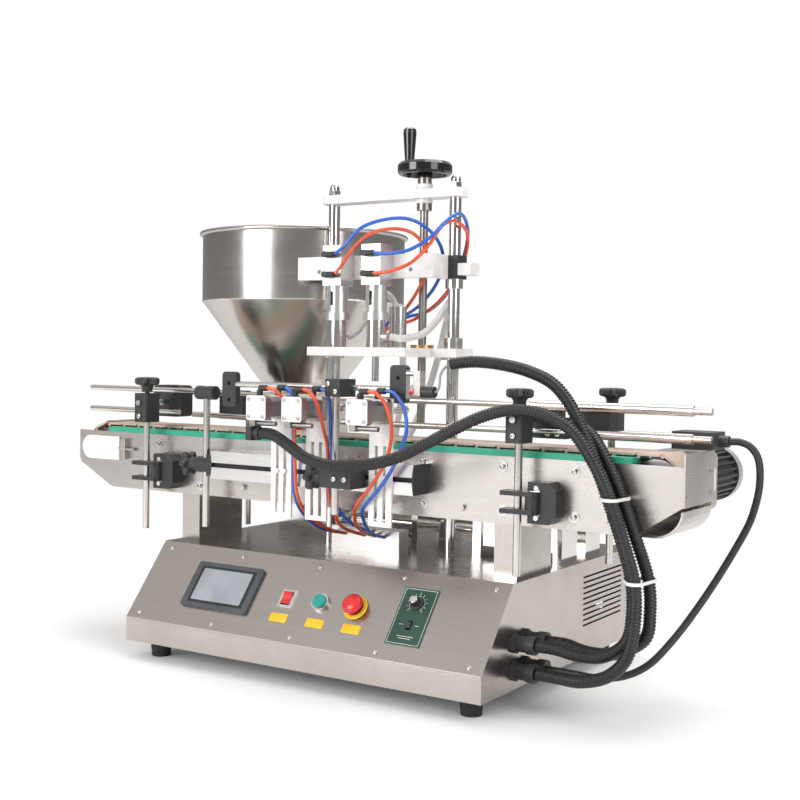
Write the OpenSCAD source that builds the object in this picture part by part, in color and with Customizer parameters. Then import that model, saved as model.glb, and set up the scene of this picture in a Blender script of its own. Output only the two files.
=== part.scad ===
// Two-nozzle piston filler for bottles, standing on a bench, with its conveyor.
// X runs along the conveyor, Y from the front to the back, Z up from the floor.
// The model is laid out from the cabinet's front edge and centre line, and
// at_origin() then sets the middle of the whole footprint on the origin.

/* [Cabinet] */
// Width of the cabinet
cab_w = 700; // [640:10:840]
// Depth of the cabinet
cab_d = 560; // [560:10:680]
// Height of the cabinet top above the floor
cab_h = 191; // [160:1:240]
// Height of the rubber feet
foot_h = 30; // [20:1:40]
// Height of the upright lip below the sloped front
lip_h = 41; // [30:1:60]
// Horizontal depth of the sloped front
slope_run = 96; // [90:1:120]
// Thickness of the cabinet sheet
sheet = 2; // [1.5:0.5:3]
// Thickness of the control panel
panel_t = 2; // [1.5:0.5:3]
// Diameter of a foot
foot_d = 38; // [30:1:50]

/* [Conveyor] */
// Length over the conveyor side plates
conv_len = 1205; // [1000:5:1450]
// Distance over the two side plates
conv_w = 125; // [115:1:150]
// Width of the slat chain
belt_w = 82.5; // [70:0.5:90]
// Height of the slat chain above the cabinet top
conv_h = 202; // [180:1:240]
// Height of a side plate
plate_h = 104; // [100:1:108]
// Thickness of a side plate
plate_t = 3; // [2:0.5:4]
// Outer radius of the chain where it turns
turn_r = 46; // [40:1:50]
// Thickness of the chain with its slats
chain_t = 8; // [6:0.5:10]
// Length of one slat
slat_pitch = 38.1; // [25.4:12.7:50.8]
// Diameter of the drive shaft
drive_d = 20; // [16:1:25]

/* [Gantry] */
// Distance between the two columns
col_span = 252; // [230:2:320]
// Diameter of a column
col_d = 20; // [16:1:25]
// Height of the top bar's upper face above the cabinet top
gantry_h = 623; // [600:1:720]
// Diameter of the lead screw
screw_d = 14; // [12:1:18]
// Diameter of the handwheel
wheel_d = 94; // [90:1:96]
// Height of the nozzle plate's underside above the belt
head_lift = 134; // [120:1:160]
// Distance between the two nozzles
nozzle_pitch = 80; // [70:1:110]

/* [Hopper] */
// Diameter of the hopper's mouth
hopper_d = 396; // [330:2:420]
// Height of the straight wall
hopper_wall_h = 134; // [100:1:180]
// Slope of the cone's side
cone_slope = 0.74; // [0.7:0.01:0.85]
// Height of the outlet above the cabinet top
outlet_h = 198; // [190:1:240]

/* [Guide rails and brackets] */
// Diameter of the upright bracket rods
post_d = 12; // [10:1:14]
// Diameter of the thin guide rods
thin_d = 10; // [8:1:12]
// Diameter of the thick outfeed rods
thick_d = 16; // [14:1:18]
// Diameter of a star knob
star_d = 46; // [40:1:50]

/* [Gates] */
// Width of a gate cylinder
gate_w = 40; // [34:1:44]
// Width of the aluminium beam
beam_w = 48; // [40:1:50]
// Length of the beam
beam_len = 408; // [380:2:440]

/* [Clearances] */
// Radial clearance of a shaft that turns or slides
run_gap = 0.05; // [0.02:0.01:0.1]
// Gap round a piece that is set into another
set_gap = 0.1; // [0.05:0.05:0.3]

/* [Hidden] */
$fn = 64;
lip_z = foot_h + lip_h;
slope_a = atan2(cab_h - lip_z, slope_run);
slope_len = norm([slope_run, cab_h - lip_z]);
belt_z = cab_h + conv_h;
conv_x = -4;
conv_y = 192.5;
conv_x0 = conv_x - conv_len / 2;
conv_x1 = conv_x + conv_len / 2;
plate_y0 = conv_y - conv_w / 2;
plate_y1 = conv_y + conv_w / 2;
plate_z1 = belt_z - 15;
plate_z0 = plate_z1 - plate_h;
belt_y0 = conv_y - belt_w / 2;
belt_y1 = conv_y + belt_w / 2;
shaft_z = belt_z - turn_r;
drive_x = conv_x1 - 9 - turn_r;
idler_x = conv_x0 + turn_r + 6;
wheel_r = turn_r - chain_t - 0.5;
leg_w = 40;
leg_x = 320;
gantry_x = 5;
col_y = 281;
screw_x = gantry_x + 64;
bar_t = 15;
bar_z1 = cab_h + gantry_h;
bar_z0 = bar_z1 - bar_t;
plate_head_z0 = belt_z + head_lift;
plate_head_t = 15;
plate_head_z1 = plate_head_z0 + plate_head_t;
nozzle_x = -10;
nozzle_y = 195;
hopper_x = gantry_x - col_span / 2 - 171;
hopper_y = 419;
outlet_r = 20;
cone_h = (hopper_d / 2 - outlet_r) / cone_slope;
outlet_z = cab_h + outlet_h;
hopper_z0 = outlet_z + cone_h;
hopper_z1 = hopper_z0 + hopper_wall_h;
rim_r = 4;
beam_x0 = -232;
beam_y1 = plate_y0;
beam_y0 = beam_y1 - beam_w;
beam_z0 = belt_z - 82;
gate_x = [-77, -5, 120];
gate_len = 68;
gate_z = belt_z + 48;
bracket_t = 4;
gate_stroke = 38;
rear_y = 240;
rail_hi = belt_z + 60;
rail_lo = belt_z + 18;
front_rail_y = 152;
post_y = 98;
head_z0 = belt_z + 9;
head_h = 52;
cross_z = head_z0 + 35;
post_left = -401;
post_right = 353;
post_rear = 415;
post_rear_left = -330;
rear_post_y = 300;
post_sensor = -258;
post_mid = [43, 65];
arm_y = 86;
arm_z = belt_z + 83;
end_screw_h = 2.5;
hopper_t = 1.5;
rim_mid_r = hopper_d / 2 - hopper_t + rim_r - 0.2;
rear_most = max(cab_d, hopper_y + rim_mid_r + rim_r);

// ---------------------------------------------------------------- helpers

// Sets the middle of the whole footprint on the origin
module at_origin() {
  translate([-(conv_x0 + conv_x1 + end_screw_h) / 2, -rear_most / 2, 0]) children();
}

module box(x0, x1, y0, y1, z0, z1) {
  translate([x0, y0, z0]) cube([x1 - x0, y1 - y0, z1 - z0]);
}

module rod_x(d, x0, x1, y, z) {
  translate([x0, y, z]) rotate([0, 90, 0]) cylinder(d = d, h = x1 - x0);
}

module rod_y(d, y0, y1, x, z) {
  translate([x, y0, z]) rotate([-90, 0, 0]) cylinder(d = d, h = y1 - y0);
}

module rod_z(d, z0, z1, x, y) {
  translate([x, y, z0]) cylinder(d = d, h = z1 - z0);
}

module hex_z(flats, z0, z1, x, y) {
  translate([x, y, z0]) cylinder(d = flats / cos(30), h = z1 - z0, $fn = 6);
}

// Extrudes a profile drawn in X and Z along Y
module along_y(y0, y1) {
  translate([0, y1, 0]) rotate([90, 0, 0]) linear_extrude(y1 - y0) children();
}

// Extrudes a profile drawn in Y and Z along X
module along_x(x0, x1) {
  translate([x0, 0, 0]) rotate([90, 0, 90]) linear_extrude(x1 - x0) children();
}

// Rectangle with true round corners, centred
module round_rect(w, h, r) {
  square([w - 2 * r, h], center = true);
  square([w, h - 2 * r], center = true);
  for (sx = [-1, 1], sy = [-1, 1]) translate([sx * (w / 2 - r), sy * (h / 2 - r)]) circle(r);
}

// Puts a piece on the sloped front: u across, v up the slope, Z along the slope's normal
module on_slope(u, v) {
  translate([u, v * cos(slope_a), lip_z + v * sin(slope_a)]) rotate([slope_a, 0, 0]) children();
}

// Height of a line parallel to the slope, set in by s, at depth y
function slope_z(y, s) = lip_z - s * cos(slope_a) + (y - s * sin(slope_a)) * tan(slope_a);
// Depth of that line at height z
function slope_y(z, s) = s * sin(slope_a) + (z - lip_z + s * cos(slope_a)) / tan(slope_a);

// ---------------------------------------------------------------- cords

// Point on a smooth curve through the route's points, t from 0 to len(p) - 1
function spline_at(p, t) =
  let (
    n = len(p),
    i = min(floor(t), n - 2),
    f = t - i,
    a = p[max(i - 1, 0)],
    b = p[i],
    c = p[i + 1],
    d = p[min(i + 2, n - 1)]
  )
  0.5 * (2 * b + (c - a) * f + (2 * a - 5 * b + 4 * c - d) * f * f
    + (3 * b - a - 3 * c + d) * f * f * f);

function unit(v) = v / norm(v);

// Side vectors carried along the curve, so that the tube doesn't twist
function carried(dirs, i = 0, side = [0, 0, 0], out = []) =
  i == len(dirs) ? out
  : let (
      t = dirs[i],
      seed = abs(t[2]) < 0.9 ? [0, 0, 1] : [1, 0, 0],
      s = i == 0 ? seed : side,
      n = unit(s - (s * t) * t)
    )
    carried(dirs, i + 1, n, concat(out, [n]));

// Round tube swept along a route, with rings steps between two points
module cord(route, d, per_step = 2, sides = 8) {
  last = (len(route) - 1) * per_step;
  pts = [for (i = [0:last]) spline_at(route, i / per_step)];
  dirs = [for (i = [0:last]) unit(pts[min(i + 1, last)] - pts[max(i - 1, 0)])];
  sidev = carried(dirs);
  ring = [
    for (i = [0:last], k = [0:sides - 1])
      let (a = 360 * k / sides, b = cross(dirs[i], sidev[i]))
      pts[i] + d / 2 * (cos(a) * sidev[i] + sin(a) * b)
  ];
  walls = [
    for (i = [0:last - 1], k = [0:sides - 1])
      let (a = i * sides + k, b = i * sides + (k + 1) % sides)
      each [[a, a + sides, b], [b, a + sides, b + sides]]
  ];
  caps = [
    for (k = [1:sides - 2])
      each [[0, k, k + 1], [last * sides, last * sides + k + 1, last * sides + k]]
  ];
  polyhedron(points = ring, faces = concat(walls, caps));
}

// ---------------------------------------------------------------- cabinet

screw_u = [-326, -163, 0, 163, 326] * (cab_w / 700);
screw_v = [11, slope_len - 13];
screen = [142, 85];
screen_uv = [-174, 78];
rocker_uv = [-36.5, 76.5];
start_uv = [31, 77];
estop_uv = [99, 77];
speed = [61, 98];
speed_uv = [203.5, 76.5];
knob_uv = [203.5, 99];
toggle_uv = [203.5, 62];
rocker_hole = [18, 24];
button_d = 22;
connector_y = [100, 137];
connector_z = [60, 102];
connector_d = 16;
leg_y0 = plate_y0 + plate_t + set_gap;
leg_y1 = plate_y1 - plate_t - set_gap;
foot_x = cab_w / 2 - 40;
foot_y = [45, cab_d - 45];

module cab_profile(s, w, base) {
  polygon([
    [w, base], [w, slope_z(w, s)], [slope_y(cab_h - w, s), cab_h - w],
    [cab_d - w, cab_h - w], [cab_d - w, base]
  ]);
}

module cabinet_shell() {
  color("gainsboro") difference() {
    along_x(-cab_w / 2, cab_w / 2) cab_profile(panel_t, 0, foot_h);
    along_x(-cab_w / 2 + sheet, cab_w / 2 - sheet)
      cab_profile(panel_t + sheet, sheet, foot_h - 1);
    // Window behind the control panel
    on_slope(0, slope_len / 2) translate([-cab_w / 2 + 40, -slope_len / 2 + 24, -12])
      cube([cab_w - 80, slope_len - 48, 20]);
    for (u = screw_u, v = screw_v) on_slope(u, v) translate([0, 0, -8]) cylinder(d = 4.2, h = 16);
    for (y = connector_y, z = connector_z)
      rod_x(connector_d + 2 * set_gap, cab_w / 2 - 5, cab_w / 2 + 5, y, z);
    // Louvre slots in both sides
    for (k = [0:9]) box(-cab_w / 2 - 1, cab_w / 2 + 1, 350, 512, 82 + 9 * k, 85 + 9 * k);
    // Air inlet in the back
    rod_y(16, cab_d - 5, cab_d + 5, cab_w / 2 - 60, 80);
  }
}

module control_panel() {
  color("silver") difference() {
    along_x(-cab_w / 2, cab_w / 2) polygon([
      [0, lip_z], [slope_y(cab_h, 0), cab_h], [slope_y(cab_h, panel_t), cab_h],
      [0, slope_z(0, panel_t)]
    ]);
    for (u = screw_u, v = screw_v) on_slope(u, v) translate([0, 0, -8]) cylinder(d = 4.2, h = 16);
    on_slope(screen_uv[0], screen_uv[1])
      cube([screen[0] - 12, screen[1] - 12, 20], center = true);
    on_slope(rocker_uv[0], rocker_uv[1])
      cube([rocker_hole[0] + 5, rocker_hole[1] + 3, 20], center = true);
    for (p = [start_uv, estop_uv]) on_slope(p[0], p[1]) translate([0, 0, -8])
      cylinder(d = button_d + 0.4, h = 16);
    on_slope(knob_uv[0], knob_uv[1]) translate([0, 0, -8]) cylinder(d = 10, h = 16);
    on_slope(toggle_uv[0], toggle_uv[1]) cube([16, 22, 20], center = true);
  }
}

module base_plate() {
  gap = sheet + set_gap;
  color("gray") difference() {
    box(-cab_w / 2 + gap, cab_w / 2 - gap, gap, cab_d - gap, foot_h, foot_h + 3);
    for (x = [-foot_x, foot_x], y = foot_y) rod_z(8.4, foot_h - 1, foot_h + 4, x, y);
  }
}

module rubber_feet() {
  color("black") for (x = [-foot_x, foot_x], y = foot_y) {
    translate([x, y, 0]) cylinder(d1 = foot_d - 6, d2 = foot_d, h = foot_h);
    rod_z(8, foot_h, foot_h + 12, x, y);
  }
}

module panel_screws() {
  color("silver") for (u = screw_u, v = screw_v) on_slope(u, v) {
    cylinder(d = 7.5, h = 2.2);
    translate([0, 0, -6]) cylinder(d = 4, h = 6);
  }
}

module inner_electronics() {
  z0 = foot_h + 3;
  color("dimgray") {
    box(-300, 300, 300, 303, z0, z0 + 120);
    box(-280, -180, 240, 300, z0 + 30, z0 + 110);
    box(-150, -60, 225, 300, z0 + 30, z0 + 110);
    box(-30, 60, 240, 300, z0 + 30, z0 + 95);
    box(100, 280, 250, 300, z0 + 40, z0 + 70);
  }
}

module touch_screen() {
  color("dimgray") on_slope(screen_uv[0], screen_uv[1]) {
    linear_extrude(5) round_rect(screen[0], screen[1], 5);
    translate([-(screen[0] - 14) / 2, -(screen[1] - 14) / 2, -30])
      cube([screen[0] - 14, screen[1] - 14, 30]);
  }
}

module button_collar(d, h, bore) {
  difference() {
    union() {
      cylinder(d = d, h = h);
      translate([0, 0, -18]) cylinder(d = button_d, h = 18);
    }
    translate([0, 0, -14]) cylinder(d = 14, h = h + 15);
    translate([0, 0, 1]) cylinder(d = bore, h = h);
  }
}

module switch_bases() {
  color("silver") {
    on_slope(rocker_uv[0], rocker_uv[1]) difference() {
      union() {
        translate([-14, -15.5, 0]) cube([28, 31, 2]);
        translate([-11, -13, -16]) cube([22, 26, 16]);
      }
      translate([0, 0, 3]) cube([rocker_hole[0], rocker_hole[1], 24], center = true);
    }
    on_slope(start_uv[0], start_uv[1]) button_collar(31, 6, 23.4);
    on_slope(estop_uv[0], estop_uv[1]) button_collar(30, 5, 19);
  }
}

rocker_tilt = 8;
rocker_pivot = 1;

module rocker() {
  color("red") on_slope(rocker_uv[0], rocker_uv[1]) translate([0, 0, rocker_pivot])
    rotate([rocker_tilt, 0, 0]) rotate([90, 0, 90])
      linear_extrude(rocker_hole[0] - 1, center = true)
        polygon([[-9, -4], [-10.2, 4.6], [-5, 2.4], [0, 1.6], [5, 2.4], [10.2, 4.6], [9, -4]]);
}

module start_cap() {
  color("teal") on_slope(start_uv[0], start_uv[1]) {
    translate([0, 0, 4.2]) cylinder(d = 22.8, h = 5.5);
    translate([0, 0, -9]) cylinder(d = 14 - 2 * run_gap, h = 13.2);
  }
}

module estop_head() {
  color("red") on_slope(estop_uv[0], estop_uv[1]) {
    translate([0, 0, 10.5]) rotate_extrude() polygon([
      [0, 0], [12.7, 0], [17, 2.6], [17, 5], [15.7, 8], [12.7, 10.2], [7.6, 11.6], [0, 12]
    ]);
    translate([0, 0, -5]) cylinder(d = 14 - 2 * run_gap, h = 15.5);
  }
}

module speed_plate() {
  color("darkgreen") {
    on_slope(speed_uv[0], speed_uv[1]) difference() {
      translate([-speed[0] / 2, -speed[1] / 2, 0]) cube([speed[0], speed[1], 1.5]);
      translate([0, knob_uv[1] - speed_uv[1], -1]) cylinder(d = 8.4, h = 4);
      translate([0, toggle_uv[1] - speed_uv[1], 0]) cube([9, 16, 5], center = true);
      for (s = [-1, 1]) translate([0, s * (speed[1] / 2 - 5), -1]) cylinder(d = 3, h = 4);
    }
    // Potentiometer body and switch body behind the panel
    on_slope(knob_uv[0], knob_uv[1]) difference() {
      translate([0, 0, -14]) cylinder(d = 8, h = 14);
      translate([0, 0, -9]) cylinder(d = 6, h = 15);
    }
    on_slope(toggle_uv[0], toggle_uv[1]) difference() {
      translate([-7, -10, -18]) cube([14, 20, 18]);
      translate([-4.5, -8, -8]) cube([9, 16, 9]);
    }
  }
}

module speed_knob() {
  color("black") on_slope(knob_uv[0], knob_uv[1]) {
    translate([0, 0, 2]) rotate_extrude()
      polygon([[0, 0], [11, 0], [11, 2], [8.5, 3.5], [7.6, 14], [0, 15]]);
    translate([0, 0, -8]) cylinder(d = 6 - 2 * run_gap, h = 10);
    translate([-0.8, 4, 16.6]) cube([1.6, 3.4, 0.8]);
  }
}

module direction_toggle() {
  color("black") on_slope(toggle_uv[0], toggle_uv[1]) rotate([10, 0, 0]) {
    translate([-3.6, -5, -1.5]) cube([7.2, 10, 6]);
  }
}

module side_connectors() {
  color("black") for (y = connector_y, z = connector_z) {
    rod_x(connector_d, cab_w / 2 - 12, cab_w / 2, y, z);
    translate([cab_w / 2, y, z]) rotate([0, 90, 0]) cylinder(d = 27 / cos(30), h = 7, $fn = 6);
    rod_x(24, cab_w / 2 + 7, cab_w / 2 + 24, y, z);
    translate([cab_w / 2 + 24, y, z]) rotate([0, 90, 0]) cylinder(d = 28, h = 14);
  }
}

// ---------------------------------------------------------------- conveyor

end_plate_t = 3;
guard_r = 40;
end_knee = 90;
end_drop = 52;
strip_len = conv_len - 160;
strip_y0 = plate_y0 - 2;
bolt_x = [-440, -200, 40, 240, 480];

module side_outline(round_end) {
  xe = conv_x1 - end_plate_t;
  r = guard_r;
  polygon([
    [conv_x0, plate_z0 + end_drop], [conv_x0 + 4, plate_z0 + end_drop - 9],
    [conv_x0 + end_knee - 10, plate_z0 + 3], [conv_x0 + end_knee, plate_z0],
    [xe - (round_end ? r : r + 32), plate_z0],
    if (round_end) each [for (a = [15:15:75]) [xe - r + r * sin(a), plate_z0 + r - r * cos(a)]],
    [xe, plate_z0 + (round_end ? r : r + 6)],
    [xe, plate_z1], [conv_x0, plate_z1]
  ]);
}

module plate_holes() {
  for (x = bolt_x) rod_y(6.4, 0, 400, x, plate_z0 + 20);
}

module front_side_plate() {
  color("silver") difference() {
    along_y(plate_y0, plate_y0 + plate_t) side_outline(false);
    plate_holes();
  }
}

module rear_side_plate() {
  color("silver") difference() {
    along_y(plate_y1 - plate_t, plate_y1) side_outline(true);
    plate_holes();
    rod_y(drive_d + 4, 0, 400, drive_x, shaft_z);
  }
}

module conveyor_legs() {
  color("silver") for (s = [-1, 1]) translate([conv_x + s * leg_x, 0, 0]) difference() {
    box(-leg_w / 2, leg_w / 2, leg_y0, leg_y1, cab_h, plate_z0 + 10);
    box(-leg_w / 2 + 2, leg_w / 2 - 2, leg_y0 + 2, leg_y1 - 2, cab_h - 1, plate_z0 + 8);
  }
}

module idler_block_outline(len) {
  translate([22, 0]) circle(22);
  translate([22, -22]) square([len - 22, 44]);
}

module conveyor_ends() {
  xe = conv_x1 - end_plate_t;
  color("silver") {
    // End plate over the drive end
    box(xe, conv_x1, plate_y0, plate_y1, plate_z0 + 46, belt_z + 3);
    // Screws in the end plate
    for (y = [plate_y0 + 12, plate_y1 - 12], z = [plate_z0 + 60, plate_z0 + 92])
      rod_x(8, conv_x1, conv_x1 + end_screw_h, y, z);
    // Cross tubes between the side plates
    for (x = bolt_x) difference() {
      rod_y(14, plate_y0 + plate_t, plate_y1 - plate_t, x, plate_z0 + 20);
      rod_y(6.4, 0, 400, x, plate_z0 + 20);
    }
    // Bolts through the side plates
    for (x = bolt_x) {
      rod_y(6, plate_y0, plate_y1, x, plate_z0 + 20);
      rod_y(11, plate_y0 - 5, plate_y0, x, plate_z0 + 20);
      rod_y(11, plate_y1, plate_y1 + 5, x, plate_z0 + 20);
    }
    // Curved guard below the drive wheels
    along_y(plate_y0 + plate_t + set_gap, plate_y1 - plate_t - set_gap) difference() {
      intersection() {
        side_outline(true);
        translate([xe - 100, plate_z0]) square([100, guard_r]);
      }
      translate([-2.5, 2.5]) intersection() {
        side_outline(true);
        translate([xe - 110, plate_z0]) square([110, guard_r + 20]);
      }
    }
    // Idler blocks with their tension screws
    for (m = [0, 1]) translate([0, m * (2 * conv_y), 0]) mirror([0, m, 0]) {
      translate([conv_x0 + 11, 0, shaft_z]) along_y(plate_y0 - 4, plate_y0) idler_block_outline(97);
      box(conv_x0 + 116, conv_x0 + 128, plate_y0 - 9, plate_y0, shaft_z - 19, shaft_z + 19);
      rod_x(6, conv_x0 + 128, conv_x0 + 148, plate_y0 - 5, shaft_z);
      rod_x(6, conv_x0 + 108.2, conv_x0 + 116, plate_y0 - 5, shaft_z);
    }
    // Bearings of the drive shaft and the idler shaft
    for (p = [[drive_x, drive_d], [idler_x, 16]]) {
      difference() {
        rod_y(p[1] + 16, plate_y0 + plate_t, plate_y0 + plate_t + 9, p[0], shaft_z);
        rod_y(p[1] + 2 * run_gap, 0, 400, p[0], shaft_z);
      }
      difference() {
        rod_y(p[1] + 16, plate_y1 - plate_t - 9, plate_y1 - plate_t, p[0], shaft_z);
        rod_y(p[1] + 2 * run_gap, 0, 400, p[0], shaft_z);
      }
    }
  }
}

// The rear strip stops short of the gearbox
module wear_strips() {
  strip_x1 = [conv_x + strip_len / 2, drive_x - gear_w / 2 - 2];
  color("mediumseagreen") for (m = [0, 1]) translate([0, m * (2 * conv_y), 0]) mirror([0, m, 0])
    along_x(conv_x - strip_len / 2, strip_x1[m]) polygon([
      [strip_y0, plate_z1], [strip_y0, belt_z - 6], [belt_y0 - 1, belt_z - 6],
      [belt_y0 - 1, belt_z - chain_t - 0.5], [belt_y0 + 14, belt_z - chain_t - 0.5],
      [belt_y0 + 14, plate_z1]
    ]);
}

run = drive_x - idler_x;
slats = floor(run / slat_pitch);

module slat_chain() {
  color("tan") difference() {
    along_y(belt_y0, belt_y1) difference() {
      union() {
        translate([idler_x, shaft_z - turn_r]) square([run, 2 * turn_r]);
        for (x = [idler_x, drive_x]) translate([x, shaft_z]) circle(turn_r);
      }
      translate([idler_x, shaft_z - turn_r + chain_t]) square([run, 2 * (turn_r - chain_t)]);
      for (x = [idler_x, drive_x]) translate([x, shaft_z]) circle(turn_r - chain_t);
    }
    // Gaps between the slats on the upper run
    for (k = [0:slats]) let (x = idler_x + (run - slats * slat_pitch) / 2 + k * slat_pitch)
      box(x - 0.8, x + 0.8, belt_y0 - 1, belt_y1 + 1, belt_z - 4, belt_z + 1);
  }
}

module chain_wheels(x, shaft) {
  for (y = [conv_y - 22, conv_y + 22]) difference() {
    rod_y(2 * wheel_r, y - 6, y + 6, x, shaft_z);
    rod_y(shaft, y - 7, y + 7, x, shaft_z);
    for (a = [0:60:300]) translate([x + 24 * cos(a), 0, shaft_z + 24 * sin(a)])
      rod_y(12, y - 7, y + 7, 0, 0);
  }
}

module drive_shaft() {
  color("silver") {
    rod_y(drive_d, plate_y0 + plate_t + 1, plate_y1 + 22, drive_x, shaft_z);
    chain_wheels(drive_x, drive_d - 1);
  }
}

module idler_shaft() {
  color("silver") {
    rod_y(16, plate_y0 + plate_t + 1, plate_y1 - plate_t - 1, idler_x, shaft_z);
    chain_wheels(idler_x, 15);
  }
}

gear_w = 90;
gear_t = 45;
motor_d = 84;
motor_len = 112;
motor_y0 = plate_y1 + set_gap;

module gearmotor() {
  y1 = motor_y0 + gear_t;
  y2 = y1 + motor_len;
  color("lightgray") {
    difference() {
      translate([drive_x, 0, shaft_z]) along_y(motor_y0, y1) round_rect(gear_w, gear_w, 12);
      rod_y(drive_d + 2 * run_gap, motor_y0 - 1, motor_y0 + 24, drive_x, shaft_z);
    }
    // Finned body
    rod_y(motor_d - 12, y1, y2, drive_x, shaft_z);
    for (a = [0:15:345]) translate([drive_x, 0, shaft_z]) rotate([0, a, 0])
      box(motor_d / 2 - 8, motor_d / 2, y1, y2, -1.5, 1.5);
    rod_y(motor_d + 4, y2, y2 + 20, drive_x, shaft_z);
    // Terminal box and its cable gland
    box(drive_x - 26, drive_x + 40, y1 - 8, y1 + 48, shaft_z + motor_d / 2 + 2, shaft_z + 72);
    rod_x(18, drive_x + 40, drive_x + 56, y1 + 20, shaft_z + 58);
  }
}

// ---------------------------------------------------------------- brackets and rails

clamp_z = plate_z0 + 40;
mid_z = beam_z0 + 22;

// Star knob with a neck and a threaded stud, pointing down from its own origin
module star_knob(stud) {
  wave = 4;
  translate([0, 0, 13]) linear_extrude(14)
    polygon([for (a = [0:5:355]) (star_d / 2 - wave + wave * cos(6 * a)) * [cos(a), sin(a)]]);
  rotate_extrude() polygon([[0, -stud], [4, -stud], [4, 0], [10, 0], [13, 13.5], [0, 13.5]]);
}

// Head block on a post: a post bore below, a cross bore, a stud hole on top
module head_block(x, y) {
  difference() {
    translate([x, y, head_z0]) linear_extrude(head_h) round_rect(30, 38, 5);
    rod_z(post_d, head_z0 - 1, head_z0 + 20, x, y);
    rod_y(thin_d + 2 * run_gap, y - 30, y + 30, x, cross_z);
    rod_z(8 + 2 * run_gap, cross_z, head_z0 + head_h + 1, x, y);
  }
}

// Two jaws round a post, joined to a body on the side plate, dir 1 or -1 along X
module swivel_clamp(x, y, z, back_y) {
  difference() {
    union() {
      for (dz = [-17, 10]) box(x - 24, x + 30, y - 13, y + 13, z + dz, z + dz + 7);
      rod_z(22, z - 17, z + 17, x + 24, y);
      translate([x + 38, 0, z]) along_y(y + 2, back_y) difference() {
        square([46, 62], center = true);
        for (s = [-1, 1]) translate([23, s * 31]) rotate(45) square(16, center = true);
      }
    }
    rod_z(post_d, z - 40, z + 40, x, y);
  }
  for (dz = [-22, 22]) rod_y(8, y - 1, y + 2, x + 30, z + dz);
}

module bracket_rods() {
  color("silver") {
    for (p = [[post_left, post_y, 18], [post_right, post_y, 12], [post_rear, rear_post_y, 10],
              [post_rear_left, rear_post_y, 10]])
      rod_z(post_d, cab_h + p[2], head_z0 + 20, p[0], p[1]);
    rod_z(post_d, cab_h + 33, belt_z + 77, post_sensor, post_y);
    rod_z(post_d, belt_z - 120, arm_z - 14, post_mid[0], post_mid[1]);
    // Horizontal arm that holds the sensor plates
    rod_x(thin_d, -180, post_mid[0] + 90, arm_y, arm_z);
    outfeed_rods();
  }
}

// Short front outfeed rod with its cross rod
module outfeed_rods() {
  rod_x(8, 200, 410, front_rail_y - 2, belt_z + 25);
  rod_y(thin_d, post_y - 24, front_rail_y + 10, post_right, cross_z);
}

module bracket_clamps() {
  color("black") {
    head_block(post_left, post_y);
    head_block(post_right, post_y);
    head_block(post_rear, rear_post_y);
    head_block(post_rear_left, rear_post_y);
    swivel_clamp(post_left, post_y, clamp_z, plate_y0);
    swivel_clamp(post_right, post_y, clamp_z, plate_y0);
    // Rear clamps hang on the back of the side plate
    for (x = [post_rear, post_rear_left]) difference() {
      box(x - 16, x + 16, plate_y1, rear_post_y + 16, plate_z0 + 8, plate_z0 + 42);
      rod_z(post_d, 0, 400, x, rear_post_y);
    }
    // Outfeed rod holder behind the front right head, with a conduit gland
    difference() {
      translate([post_right - 6, front_rail_y, belt_z + 14]) cube([56, 26, 32]);
      outfeed_rods();
    }
    rod_x(22, post_right + 50, post_right + 60, front_rail_y + 15, belt_z + 31);
    // Clamp of the left sensor post, bolted to the end of the beam
    difference() {
      union() {
        rod_x(28, post_sensor - 18, beam_x0 - 4, post_y, mid_z);
        box(post_sensor + 8, beam_x0 - 3, post_y - 10, post_y + 10, mid_z - 18, mid_z + 18);
      }
      rod_z(post_d, 0, 600, post_sensor, post_y);
      rod_x(8 + 2 * run_gap, post_sensor - 30, post_sensor, post_y, mid_z);
    }
    // Cross clamp at the top of the left sensor post
    difference() {
      rod_x(24, post_sensor - 20, post_sensor + 20, post_y, belt_z + 66);
      rod_z(post_d, 0, 600, post_sensor, post_y);
    }
    // Clamp of the middle sensor post on the front of the beam
    difference() {
      translate([post_mid[0] - 12, post_mid[1] - 27, mid_z - 15])
        cube([60, beam_y0 - post_mid[1] + 27, 30]);
      rod_z(post_d, 0, 600, post_mid[0], post_mid[1]);
      rod_x(8 + 2 * run_gap, post_mid[0] - 30, post_mid[0], post_mid[1] - 15, mid_z);
    }
    // Cross clamp between the middle post and the sensor arm
    difference() {
      translate([post_mid[0] - 14, post_mid[1] - 12, arm_z - 14])
        cube([28, arm_y - post_mid[1] + 24, 28]);
      rod_z(post_d, 0, 600, post_mid[0], post_mid[1]);
      rod_x(thin_d, -200, 200, arm_y, arm_z);
    }
  }
}

module knob_on_head(x, y) {
  translate([x, y, head_z0 + head_h + 2]) star_knob(13.5);
}

module knob_on_side(x, y, z) {
  translate([x, y, z]) rotate([0, -90, 0]) star_knob(10);
}

module knob_front_left() {
  color("black") knob_on_head(post_left, post_y);
}

module knob_front_right() {
  color("black") knob_on_head(post_right, post_y);
}

module knob_rear_right() {
  color("black") knob_on_head(post_rear, rear_post_y);
}

module knob_sensor_left() {
  color("black") knob_on_side(post_sensor - 20, post_y, mid_z);
}

module knob_sensor_mid() {
  color("black") knob_on_side(post_mid[0] - 14, post_mid[1] - 15, mid_z);
}

module stepped_rod(x0, step, x1, tip, y, z) {
  rod_x(thin_d, x0, step, y, z);
  rod_x(thick_d, step, x1, y, z);
  rod_x(thick_d - 5, x1, x1 + tip, y, z);
}

module rear_rods() {
  for (z = [rail_lo, rail_hi]) stepped_rod(-418, 300, conv_x1 - 28, 28, rear_y, z);
}

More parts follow.
